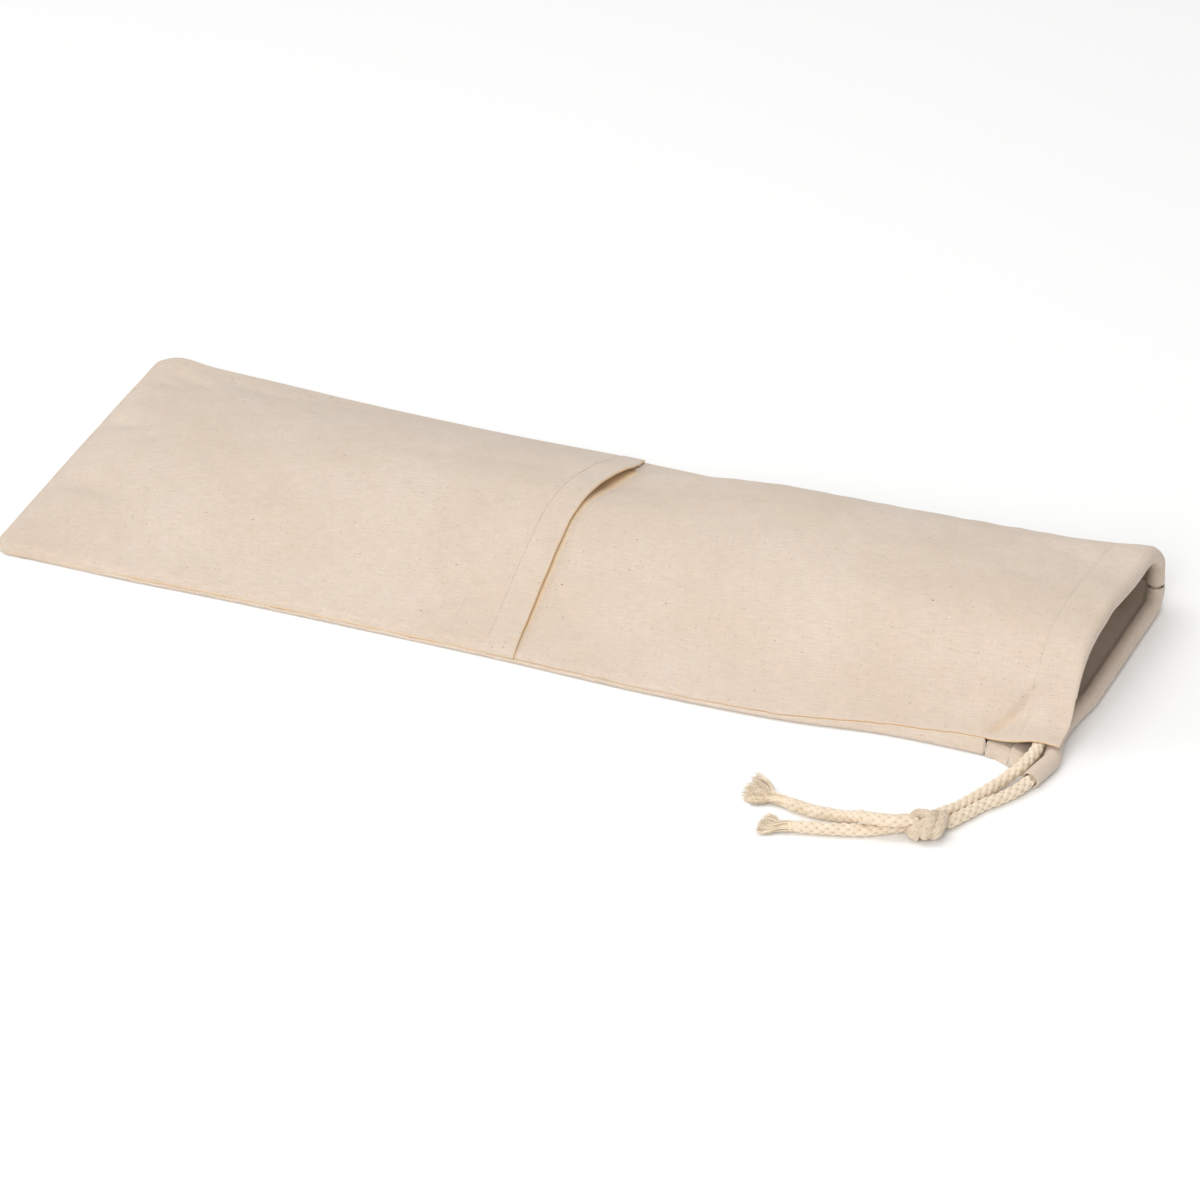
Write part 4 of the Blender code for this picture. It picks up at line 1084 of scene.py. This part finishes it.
def tube(name, route, radii, sides_round, relief=None, phase=0.0):
    """A closed tube along a route; relief gives its height at each turn round and run along."""
    across, up = frames_along(route)
    run = lengths_along(route)
    turn = np.linspace(0.0, 1.0, sides_round + 1)
    radius = np.broadcast_to(np.asarray(radii, float).reshape(-1, 1), (len(route), len(turn)))
    painted_light_and_tone = np.zeros(radius.shape)
    if relief is not None:
        height = relief((turn % 1.0)[None, :] + phase, run[:, None])
        radius = radius - RELIEF + height
        low, high = height.min(), height.max()
        # painted shade: the lower a point of the plait, the darker it is painted
        painted_light_and_tone = np.clip(1.0 - (height - low) / (PAINTED_SHADE_SHARE * (high - low)), 0.0, 1.0)
    angle = turn * math.tau
    ring = across[:, None] * np.cos(angle)[:, None] + up[:, None] * np.sin(angle)[:, None]
    centre = np.broadcast_to(route[:, None], ring.shape)
    points = np.concatenate((centre[:1], centre + ring * radius[..., None], centre[-1:]))
    painted_light_and_tone = np.concatenate((painted_light_and_tone[:1], painted_light_and_tone, painted_light_and_tone[-1:]))
    cloth = grid_of(np.concatenate((run[:1], run, run[-1:])), angle * CORD_RADIUS)
    made = lay_out(name, points, cloth, painted_light_and_tone)
    bpy.ops.object.mode_set(mode="EDIT")
    bpy.ops.mesh.select_all(action="SELECT")
    bpy.ops.mesh.remove_doubles(threshold=0.000004)
    bpy.ops.mesh.normals_make_consistent(inside=False)
    bpy.ops.object.mode_set(mode="OBJECT")
    return made


# %% [markdown]
# ## Where the cord goes
#
# The cord is one length.  It comes out of the front's hem, lies down beside the strand from the
# back's hem, and both go into the knot.  Two tails leave the knot and end in loose yarns.  The routes
# are given middle lines, as in the solid model, and each goes a few millimetres into the knot.

# %% Routes of the free stretches
# Each row of a route is a point: at, y and z.
ROUTE_FRONT = ((0.7036, 0.0378, 0.0156), (0.7036, 0.0342, 0.0124), (0.7037, 0.0300, 0.0113),
               (0.7044, 0.0220, 0.0106), (0.7056, 0.0140, 0.0100),
               (0.7056, 0.0070, 0.0096), (0.7044, -0.0008, 0.0091), (0.7024, -0.0097, 0.0080),
               (0.6986, -0.0175, 0.0062), (0.6940, -0.0270, 0.0045), (0.6884, -0.0400, 0.0039),
               (0.6838, -0.0520, 0.0039), (0.6792, -0.0640, 0.0050), (0.6762, -0.0712, 0.0066),
               (0.6750, -0.0736, 0.0070))
ROUTE_BACK = ((0.7112, -0.0178, 0.0054), (0.7096, -0.0230, 0.0047), (0.7060, -0.0310, 0.0041),
              (0.7005, -0.0411, 0.0039), (0.6932, -0.0522, 0.0039), (0.6884, -0.0632, 0.0041),
              (0.6851, -0.0704, 0.0043), (0.6820, -0.0768, 0.0043))
ROUTE_UPPER = ((0.6616, -0.0955, 0.0116), (0.6542, -0.0997, 0.0119), (0.6483, -0.1014, 0.0121),
               (0.6424, -0.1026, 0.0122), (0.6366, -0.1034, 0.0121), (0.6334, -0.1020, 0.0114),
               (0.6286, -0.0993, 0.0084), (0.6212, -0.0970, 0.0052), (0.6109, -0.0960, 0.0039),
               (0.6046, -0.0965, 0.0039), (0.5980, -0.0963, 0.0039), (0.5911, -0.0952, 0.0039),
               (0.5841, -0.0938, 0.0039), (0.5800, -0.0927, 0.0039))
ROUTE_LOWER = ((0.6606, -0.0908, 0.0044), (0.6525, -0.0947, 0.0039), (0.6472, -0.0982, 0.0039),
               (0.6420, -0.1016, 0.0039), (0.6365, -0.1046, 0.0039), (0.6309, -0.1068, 0.0039),
               (0.6252, -0.1086, 0.0039), (0.6167, -0.1112, 0.0039), (0.6108, -0.1128, 0.0039),
               (0.6049, -0.1142, 0.0039), (0.5990, -0.1159, 0.0039), (0.5940, -0.1172, 0.0039))
KNOT_HEART = np.array((0.6705, -0.0895, 0.0062))
INTO_KNOT = 0.0045
CORD_OUTER = 0.00415         # radius over the plait's highest points
TAIL_TAPER = 0.006           # the tails get thinner where their braid comes undone
TAIL_THIN = 0.84             # share of the radius at a tail's end
CORD_STEP = 0.00042
CORD_SIDES = 60


def into_knot(points, end):
    """A route with one more point at its end (0 or -1), towards the knot's heart."""
    points = np.array(points)
    way = KNOT_HEART - points[end]
    inside = [points[end] + way / np.linalg.norm(way) * INTO_KNOT]
    return np.concatenate((inside, points) if end == 0 else (points, inside))


strands, routes = {}, {}
for name, points, end, phase in (("strand_from_front", ROUTE_FRONT, -1, 0.0),
                                 ("strand_from_back", ROUTE_BACK, -1, 0.13),
                                 ("tail_upper", ROUTE_UPPER, 0, 0.05),
                                 ("tail_lower", ROUTE_LOWER, 0, 0.21)):
    route = even_route(into_knot(points, end), CORD_STEP)
    left = lengths_along(route)[::-1] if end == 0 else np.full(len(route), 1.0)
    radii = CORD_OUTER * (TAIL_THIN + (1.0 - TAIL_THIN) * smooth_step(left / TAIL_TAPER))
    routes[name], strands[name] = route, tube(name, route, radii, CORD_SIDES, braid, phase)
    print(name, "is", round(lengths_along(route)[-1], 4), "m long")

# %% [markdown]
# Inside the hem the cord runs round the mouth, over the front to the far seam and back along the back
# cloth.  It hardly shows, so it has fewer points.

# %% The cord inside the hem
CORD_IN_HEM = 0.7145
CORD_AT_SLIT = 0.7036
HEM_CENTRE = 0.0048
HEM_CORD_ENDS = -0.0162      # y at which the cord comes out of the back's hem
BEND_ANGLES = np.radians((22.5, 45.0, 67.5, 90.0))
BEND_EASE = np.array((0.0008, 0.0002, 0.0, 0.0))


def hem_route():
    share = np.linspace(0.096, 1.0, 26)
    at = CORD_AT_SLIT + (CORD_IN_HEM - CORD_AT_SLIT) * moved_over(share)
    over = raised(at, share, -HEM_CENTRE)
    far, far_height = read_curve(STATIONS, POINTS, [CORD_IN_HEM])[0][-1]
    radius = min(max(far_height - 0.0020, LIP_RADIUS), FAR_RADIUS)
    middle = far + FAR_APART - radius
    reach = radius - HEM_CENTRE - BEND_EASE
    bend = np.column_stack((np.full(len(reach), CORD_IN_HEM), middle + reach * np.cos(BEND_ANGLES),
                            FLOOR + radius - reach * np.sin(BEND_ANGLES)))
    y = np.linspace(middle - 0.012, HEM_CORD_ENDS, 14)
    under = np.column_stack((CORD_IN_HEM + look_up(HEM_LEAN, y), y,
                             np.full(len(y), FLOOR + HEM_CENTRE)))
    return even_route(np.concatenate((over, bend, under)), 0.0011)


cord_in_hem = tube("cord_in_hem_braid", hem_route(), CORD_RADIUS, CORD_SIDES // 2, braid)
print(cord_in_hem.name, "has", len(cord_in_hem.data.polygons), "faces")

# %% [markdown]
# ## The knot
#
# Both strands are tied together in one overhand knot.  Seen from above it shows a loop round the
# tails, a band across its middle and two upright turns.  Each turn is a short braided tube that
# starts and ends inside the knot.

# %% The knot's turns
# Each row: a turn's radius, and the points of its middle line.
KNOT_BANDS = (
    (0.0036, ((0.6612, -0.0868, 0.0062), (0.6628, -0.0857, 0.0090), (0.6671, -0.0854, 0.0106),
              (0.6730, -0.0880, 0.0112))),
    (0.0036, ((0.6735, -0.0925, 0.0110), (0.6692, -0.0970, 0.0090), (0.6655, -0.0985, 0.0058),
              (0.6700, -0.0980, 0.0040))),
    (0.0036, ((0.6725, -0.0800, 0.0080), (0.6738, -0.0855, 0.0112), (0.6745, -0.0930, 0.0112),
              (0.6735, -0.0990, 0.0070), (0.6720, -0.0950, 0.0040))),
    (0.0036, ((0.6750, -0.0775, 0.0060), (0.6785, -0.0820, 0.0098), (0.6800, -0.0890, 0.0100),
              (0.6785, -0.0955, 0.0066), (0.6740, -0.0930, 0.0040))),
    (0.0040, ((0.6640, -0.0900, 0.0050), (0.6700, -0.0890, 0.0062), (0.6770, -0.0860, 0.0050))),
)
TURN_RELIEF = 0.0004         # how far the plait stands out over a turn's radius
TURN_STEP = 0.00035
TURN_SIDES = 90

turns = []
for k, (radius, points) in enumerate(KNOT_BANDS):
    route = even_route(points, TURN_STEP)
    turns.append(tube("turn_%d" % k, route, radius + TURN_RELIEF, TURN_SIDES, tight_braid, 0.09 * k))
knot = join("knot", turns)

# %% [markdown]
# ## The frayed ends
#
# The tails were cut and have come undone, so each ends in locks of loose yarn.  One yarn is modelled
# and copied.  Each copy is laid along its lock's own line, a little to one side of its neighbours,
# with its own wave, and the copies spread towards their tips.

# %% One yarn
YARN_RADIUS = 0.00021
YARN_POINTS = 14
YARN_SIDES = 4
YARN_STEP = 0.002            # from ring to ring of the straight yarn

straight = np.arange(YARN_POINTS)[:, None] * (YARN_STEP, 0.0, 0.0) + ORIGIN
model_yarn = tube("yarn", straight, YARN_RADIUS, YARN_SIDES)
places = points_of(model_yarn.data)
yarn_ring = np.rint(places[:, 0] / YARN_STEP).astype(int)
yarn_across, yarn_up = -places[:, 1:2], places[:, 2:]
print("one yarn has", len(model_yarn.data.polygons), "faces")


def lay_yarn(route, radii, tone):
    """A copy of the yarn along a route; tone, partly painted shade, is kept as an attribute of its
    points.
    """
    yarn = copy_of(model_yarn)
    across, up = frames_along(route)
    offset = across[yarn_ring] * yarn_across + up[yarn_ring] * yarn_up
    laid = route[yarn_ring] + offset * (radii / YARN_RADIUS)[yarn_ring, None] - ORIGIN
    yarn.data.vertices.foreach_set("co", laid.ravel())
    yarn.data.attributes["painted_light_and_tone"].data.foreach_set("value", np.full(len(laid), tone))
    return yarn


# %% [markdown]
# A loose yarn starts inside the cord, comes out where the braid ends, and bends towards its tip.  The
# yarns keep together in clumps, three to a lock, and no two have the same length, wave or tone.

# %% One yarn's way in a lock
YARN_START = 0.0075          # how far inside the cord a yarn starts
LOWEST_YARN = 0.0006
CLUMP_SPREAD = 0.085         # how far yarns stray from their clump; there are three clumps a lock


def fray_yarn(chance, root, step, locks):
    """The route, radii and tone of one yarn that starts inside the cord and lies in a lock."""
    clump = chance.integers(0, 3 * len(locks) - 2) / 3.0
    place = float(np.clip(clump + chance.normal(0.0, CLUMP_SPREAD), -0.15, len(locks) - 0.85))
    if place < 0.0:
        at, y, bow = locks[0] * (1.0 - place) + locks[1] * place
    else:
        at, y, bow = read_curve(np.arange(len(locks)), locks, [min(place, len(locks) - 1.0)])[0]
    left = np.array((step[1], -step[0], 0.0))
    away = np.array((at - root[0], y - root[1], 0.0))
    side = np.array((away[1], -away[0], 0.0)) / np.linalg.norm(away)
    sideways = 2.0 * (place + 0.5) / len(locks) - 1.0 + chance.normal(0.0, 0.12)
    sideways = float(np.clip(sideways, -1.0, 1.0))
    v = chance.uniform(-1.0, 1.0)
    tall = math.sqrt(1.0 - sideways ** 2) * v
    start = root - step * YARN_START - left * sideways * CORD_RADIUS * 0.84
    start[2] += tall * CORD_RADIUS * 0.84
    first = root - left * sideways * CORD_RADIUS * 0.98
    first[2] = max(first[2] + tall * CORD_RADIUS * 0.92, LOWEST_YARN)
    tip = root + away * chance.triangular(0.70, 0.97, 1.04) + side * chance.normal(0.0, 0.0005)
    tip[2] = LOWEST_YARN + 0.0016 * chance.random() * (1.0 + v)
    second = first + step * 0.0030 + (tip - first) * 0.17
    second[2] = max(first[2] * 0.75, LOWEST_YARN)
    middle = (second + tip) / 2 + side * (bow + chance.normal(0.0, 0.0003))
    middle[2] = 0.0010 + 0.0016 * (1.0 + v) * chance.uniform(0.6, 1.1)
    route = even_route((start, first, second, middle, tip), 0.0002)
    route = route[np.linspace(0, len(route) - 1, YARN_POINTS).astype(int)]
    sway = np.sin(np.linspace(0.0, chance.uniform(4.0, 9.0), YARN_POINTS) + chance.uniform(0, 6))
    route += side * (sway * np.linspace(0.0, 0.00024, YARN_POINTS))[:, None]
    radii = YARN_RADIUS * chance.uniform(0.8, 1.25) * np.linspace(1.15, 0.6, YARN_POINTS)
    route[:, 2] = np.maximum(route[:, 2], radii + 0.0001)
    # the tone is partly random and partly painted shade: yarns that come from the cord's underside are
    # darker
    tone = 0.30 * (math.sin(clump * 29.0) > 0.3) + 0.12 * (tall < 0.0) + 0.55 * chance.random() ** 4
    return route, radii, min(tone, 0.8)


print("a yarn may stray", CLUMP_SPREAD, "of a lock from its clump")

# %% [markdown]
# The core of the braid tapers inside each frayed end.  The yarns are joined to it, so that a frayed
# end is one piece.

# %% The frayed ends
# A root is the point where the braid ends.  Each row of locks: a tip's at and y, and the lock's bow.
FRAY_UPPER_ROOT = (0.5768, -0.0918, 0.0038)
FRAY_UPPER_LOCKS = ((0.5512, -0.0640, 0.0020), (0.5505, -0.0712, 0.0014), (0.5505, -0.0790, 0.0008),
                    (0.5503, -0.0857, 0.0), (0.5528, -0.0950, -0.0010), (0.5600, -0.0985, -0.0010))
FRAY_LOWER_ROOT = (0.5908, -0.1181, 0.0038)
FRAY_LOWER_LOCKS = ((0.5740, -0.1045, 0.0010), (0.5722, -0.1110, 0.0008), (0.5724, -0.1174, 0.0),
                    (0.5738, -0.1236, -0.0008), (0.5748, -0.1290, -0.0012))
YARNS_A_LOCK = 46
CORE_RADII = (0.95 * CORD_RADIUS, 0.45 * CORD_RADIUS)
CORE_STEP = 0.0006
CORE_SIDES = 24


def fray(name, root, tail_end, locks, seed):
    """A frayed end: a core that tapers from the cord, and yarns that start inside it and fan out."""
    chance = np.random.default_rng(seed)
    root, tail_end, locks = np.array(root), np.array(tail_end), np.array(locks)
    step = root - tail_end
    step /= np.linalg.norm(step)
    yarns = [lay_yarn(*fray_yarn(chance, root, step, locks))
             for _ in range(YARNS_A_LOCK * len(locks))]
    route = even_route((tail_end, root), CORE_STEP)
    core = tube("core", route, np.linspace(*CORE_RADII, len(route)), CORE_SIDES)
    return join(name, [core] + yarns)


frayed_upper = fray("frayed_end_upper", FRAY_UPPER_ROOT, ROUTE_UPPER[-1], FRAY_UPPER_LOCKS, 5)
frayed_lower = fray("frayed_end_lower", FRAY_LOWER_ROOT, ROUTE_LOWER[-1], FRAY_LOWER_LOCKS, 8)
bpy.data.objects.remove(model_yarn, do_unlink=True)

# %% [markdown]
# ## Materials
#
# Two finishes cover the whole bag: a fine plain weave of unbleached cotton, and the yarn of the cord,
# the knot, the loose ends and the stitches.  An effect that is used more than once is a node group,
# made once and placed with its own values.  A group gives only colours and values; the shader stays in
# the material.

# %% Small helpers for nodes
def node_group(name, inputs, outputs):
    group = bpy.data.node_groups.new(name, "ShaderNodeTree")
    for side, sockets in (("INPUT", inputs), ("OUTPUT", outputs)):
        for label, kind, *value in sockets:
            socket = group.interface.new_socket(name=label, in_out=side,
                                                socket_type="NodeSocket" + kind)
            if value:
                socket.default_value = value[0]
    ends = [group.nodes.new("NodeGroup" + end) for end in ("Input", "Output")]
    return group, ends[0].outputs, ends[1].inputs


def set_sockets(tree, made, sockets):
    """Link each socket to another node's output, or give it a value."""
    for key, value in sockets.items():
        if isinstance(value, bpy.types.NodeSocket):
            tree.links.new(value, made.inputs[key])
        else:
            made.inputs[key].default_value = value


def node(tree, kind, sockets, **settings):
    made = tree.nodes.new("ShaderNode" + kind)
    for key, value in settings.items():
        setattr(made, key, value)
    set_sockets(tree, made, sockets)
    return made


def maths(tree, operation, *values, clamp=False):
    return node(tree, "Math", dict(enumerate(values)), operation=operation, use_clamp=clamp).outputs[0]


def weighed(tree, operation, values, shares):
    """Two values, each times its share, and both taken together."""
    return maths(tree, operation, *(maths(tree, "MULTIPLY", *pair) for pair in zip(values, shares)))


def scaled(tree, vector, scale):
    return node(tree, "VectorMath", {0: vector, 1: scale}, operation="MULTIPLY").outputs[0]


def ranged(tree, value, low, high, most=1.0):
    """A value from low to high, spread over 0 to most."""
    return node(tree, "MapRange", {"Value": value, "From Min": low, "From Max": high,
                                   "To Max": most}).outputs[0]


def noise(tree, place, scale, detail, **sockets):
    return node(tree, "TexNoise", {"Vector": place, "Scale": scale, "Detail": detail,
                                   **sockets}).outputs["Fac"]


def blended(tree, share, first, second):
    return node(tree, "Mix", {0: share, 6: first, 7: second}, data_type="RGBA").outputs[2]


# the attribute of painted shade, painted glow and yarn tone
def painted_light_of(tree):
    return node(tree, "Attribute", {}, attribute_name="painted_light_and_tone").outputs["Fac"]


def new_material(name, settings):
    """A material whose shader has these settings."""
    material = bpy.data.materials.new(name)
    material.use_nodes = True
    shader = material.node_tree.nodes["Principled BSDF"]
    set_sockets(material.node_tree, shader, settings)
    return material, material.node_tree, shader


# %% [markdown]
# Unbleached cotton has uneven yarns: some are thicker for a few millimetres and show as short
# streaks along and across the cloth.  The group stretches a noise along each direction of the weave
# and adds the threads' own ripple.  It gives a height for the bump and a tone for the colour.

# %% Uneven threads
STREAKS = ((95.0, 1150.0, 0.0), (1150.0, 95.0, 0.0))     # noise scales along and across the cloth


def uneven_threads():
    group, put, out = node_group("uneven threads", (("Place", "Vector"), ("Thread", "Float", 0.0007)),
                                 (("Height", "Float"), ("Tone", "Float")))
    streaks = [noise(group, scaled(group, put["Place"], scale), 1.0, 2.0, Roughness=0.55)
               for scale in STREAKS]
    tone = weighed(group, "ADD", streaks, (0.62, 0.38))
    split = node(group, "SeparateXYZ", {0: put["Place"]}).outputs
    ripples = []
    for k in (0, 1):
        waves = maths(group, "DIVIDE", split[k], put["Thread"])
        ripples.append(maths(group, "SINE", maths(group, "MULTIPLY", waves, math.tau)))
    weave = maths(group, "MULTIPLY", *ripples)
    group.links.new(weighed(group, "ADD", (tone, weave), (1.6, 0.10)), out["Height"])
    group.links.new(tone, out["Tone"])
    return group


THREADS = uneven_threads()
print(THREADS.name, "has", len(THREADS.nodes), "nodes")

# %% [markdown]
# The little brown specks are bits of seed husk that stay in unbleached cotton.  Each cell of a
# cell pattern may hold one, at a random place and size.

# %% Seed specks
SPECK_STRETCH = (0.8, 1.15, 1.0)


def seed_specks():
    group, put, out = node_group("seed specks", (("Place", "Vector"), ("Cells", "Float", 90.0),
                                                 ("Size", "Float", 0.05), ("Share", "Float", 0.5)),
                                 (("Mask", "Float"),))
    stretched = scaled(group, put["Place"], SPECK_STRETCH)
    cells = node(group, "TexVoronoi", {"Vector": stretched, "Scale": put["Cells"]}, feature="F1",
                 voronoi_dimensions="2D").outputs
    pick = node(group, "SeparateColor", {0: cells["Color"]}).outputs
    size = maths(group, "MULTIPLY", put["Size"], maths(group, "ADD", pick[1], 0.35))
    away = maths(group, "DIVIDE", cells["Distance"], size)
    inside = maths(group, "SUBTRACT", 1.0, away, clamp=True)
    chosen = maths(group, "MULTIPLY", inside, maths(group, "LESS_THAN", pick[0], put["Share"]))
    strength = maths(group, "MULTIPLY", chosen, maths(group, "ADD", pick[2], 0.4))
    group.links.new(maths(group, "MULTIPLY", strength, 1.4, clamp=True), out["Mask"])
    return group


SPECKS = seed_specks()
print(SPECKS.name, "has", len(SPECKS.nodes), "nodes")

# %% [markdown]
# The cloth's base colour is a warm cream.  Broad soft patches a little darker or redder keep it from
# looking like paint, the streaks give it its yarns, and the specks follow.  Last come painted shade,
# brown at the seams' edges, the slit's creases and the pocket's fold, and a painted warm glow under
# the pocket's opening.

# %% Unbleached cotton
COTTON_LIGHT = (0.705, 0.590, 0.495, 1.0)
COTTON_WARM = (0.670, 0.550, 0.445, 1.0)
COTTON_STREAK = (0.520, 0.430, 0.335, 1.0)
SPECK_BROWN = (0.270, 0.205, 0.150, 1.0)
# painted shade: the brown of the seams' edges, the slit's creases and the pocket's fold
PAINTED_SHADE_BROWN = (0.740, 0.490, 0.240, 1.0)
# painted light: the warm glow under the pocket's opening
PAINTED_GLOW_COLOUR = (0.950, 0.690, 0.400, 1.0)
FINE_SPECKS = {"Cells": 190.0, "Size": 0.120, "Share": 0.30}
COARSE_SPECKS = {"Cells": 37.0, "Size": 0.029, "Share": 0.32}
COTTON_SHADER = {"Roughness": 0.88, "Specular IOR Level": 0.22, "Sheen Weight": 0.12,
                 "Sheen Roughness": 0.5, "Subsurface Weight": 0.30,
                 "Subsurface Radius": (1.0, 0.62, 0.36), "Subsurface Scale": 0.0018}


def cotton_cloth():
    material, tree, shader = new_material("unbleached cotton", COTTON_SHADER)
    place = node(tree, "UVMap", {}, uv_map="cloth").outputs[0]
    threads = node(tree, "Group", {"Place": place, "Thread": 0.0009}, node_tree=THREADS).outputs
    colour = blended(tree, ranged(tree, noise(tree, place, 14.0, 3.0), 0.35, 0.65),
                     COTTON_LIGHT, COTTON_WARM)
    colour = blended(tree, ranged(tree, threads["Tone"], 0.40, 0.68, 0.55), colour, COTTON_STREAK)
    masks = [node(tree, "Group", {"Place": place, **specks}, node_tree=SPECKS).outputs["Mask"]
             for specks in (FINE_SPECKS, COARSE_SPECKS)]
    colour = blended(tree, weighed(tree, "MAXIMUM", masks, (0.42, 0.85)), colour, SPECK_BROWN)
    # painted shade browns the cloth where the attribute is positive, and a painted warm glow is laid
    # where it is negative
    for strength, tint in ((0.6, PAINTED_SHADE_BROWN), (-1.0, PAINTED_GLOW_COLOUR)):
        share = maths(tree, "MULTIPLY", painted_light_of(tree), strength, clamp=True)
        colour = blended(tree, share, colour, tint)
    bump = node(tree, "Bump", {"Height": threads["Height"], "Strength": 0.55, "Distance": 0.00030})
    set_sockets(tree, shader, {"Base Color": colour, "Normal": bump.outputs[0]})
    return material


cotton = cotton_cloth()
print(cotton.name, "has", len(cotton.node_tree.nodes), "nodes")

# %% [markdown]
# The cord is the same cotton in thicker, looser yarn, a little yellower.  Its grooves are true shape,
# and the material paints shade into them too, besides the fine yarns that lie side by side in each
# strand.  The knot, the loose ends and the sewing thread have the same yarn in other tones, so the
# yarn is a group.

# %% Yarn
# painted shade in the plait's grooves, and the dark end of the loose yarns' tone
PAINTED_GROOVE_SHADE = (0.300, 0.210, 0.120, 1.0)
FIBRE_SCALE, PATCH_SCALE = 900.0, 120.0


def soft_yarn():
    group, put, out = node_group("soft yarn", (("Place", "Vector"), ("Groove", "Float"),
                                               ("Light", "Color"), ("Dark", "Color")),
                                 (("Colour", "Color"), ("Height", "Float")))
    fibres = noise(group, put["Place"], FIBRE_SCALE, 3.0)
    patches = noise(group, put["Place"], PATCH_SCALE, 2.0)
    share = ranged(group, weighed(group, "ADD", (fibres, patches), (0.5, 0.5)), 0.38, 0.66)
    # painted shade: the grooves, and the darker loose yarns, are painted towards brown
    deep = maths(group, "MULTIPLY", maths(group, "POWER", put["Groove"], 1.15), 0.80)
    colour = blended(group, deep, blended(group, share, put["Light"], put["Dark"]), PAINTED_GROOVE_SHADE)
    group.links.new(colour, out["Colour"])
    group.links.new(fibres, out["Height"])
    return group


YARN = soft_yarn()
print(YARN.name, "has", len(YARN.nodes), "nodes")

# %% [markdown]
# Loose yarn is painted paler than the braid, as painted light, and the tight knot is painted darker,
# as painted shade.  Each tone is a material of its own, with the same group in it.

# %% Yarn of the cord, its knot and ends, and the thread
YARN_COLOURS = {             # a light and a dark colour for each
    "cord yarn": ((0.850, 0.720, 0.565, 1.0), (0.720, 0.590, 0.430, 1.0)),
    # painted light: the loose yarn is a lighter copy of the cord's yarn
    "loose yarn painted lighter": ((0.980, 0.850, 0.670, 1.0), (0.900, 0.740, 0.540, 1.0)),
    # painted shade: the knot's yarn is a darker copy of the cord's yarn
    "knot yarn painted darker": ((0.740, 0.620, 0.485, 1.0), (0.610, 0.490, 0.355, 1.0)),
    "sewing thread": ((0.690, 0.580, 0.475, 1.0), (0.560, 0.450, 0.340, 1.0)),
}
YARN_SHADER = {"Roughness": 0.92, "Specular IOR Level": 0.18, "Sheen Weight": 0.2}


def cord_yarn(name, light, dark):
    material, tree, shader = new_material(name, YARN_SHADER)
    place = node(tree, "TexCoord", {}).outputs["Object"]
    sockets = {"Place": place, "Groove": painted_light_of(tree), "Light": light, "Dark": dark}
    soft = node(tree, "Group", sockets, node_tree=YARN).outputs
    bump = node(tree, "Bump", {"Height": soft["Height"], "Strength": 0.5, "Distance": 0.00022})
    set_sockets(tree, shader, {"Base Color": soft["Colour"], "Normal": bump.outputs[0]})
    return material


yarn, loose_yarn_painted_light, knot_yarn_painted_shade, thread = [cord_yarn(name, *tones) for name, tones in YARN_COLOURS.items()]
print("yarns:", ", ".join(YARN_COLOURS))

# %% [markdown]
# ## Putting it on the frame
#
# Every piece rides on the bag's one body, hides the plain solid that it stands for, and takes its
# finish.

# %% Riding, replacing and finishes
def finish_piece(piece, material, slot, *nodes):
    piece.data.materials.clear()
    piece.data.materials.append(material)
    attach(piece, "root")
    if nodes:
        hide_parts(*nodes)


for piece, stands_for in ((front_sheet, "front_panel"), (pocket_sheet, "pocket_panel"),
                          (back_sheet, "back_panel")):
    finish_piece(piece, cotton, "cotton", stands_for)
for piece, material, stands_for in ((strands["strand_from_front"], yarn, "cord_front"),
                                    (strands["strand_from_back"], yarn, "cord_back"),
                                    (strands["tail_upper"], yarn, "cord_tail_upper"),
                                    (strands["tail_lower"], yarn, "cord_tail_lower"),
                                    (cord_in_hem, yarn, "cord_in_hem"), (knot, knot_yarn_painted_shade, "cord_knot"),
                                    (frayed_upper, loose_yarn_painted_light, "fray_upper"),
                                    (frayed_lower, loose_yarn_painted_light, "fray_lower")):
    finish_piece(piece, material, "cord", stands_for)
for piece in (mouth_stitching, pocket_stitching, slit_bar):
    finish_piece(piece, thread, "cotton")
print("the mouth's stitching has the finish", mouth_stitching.data.materials[0].name)
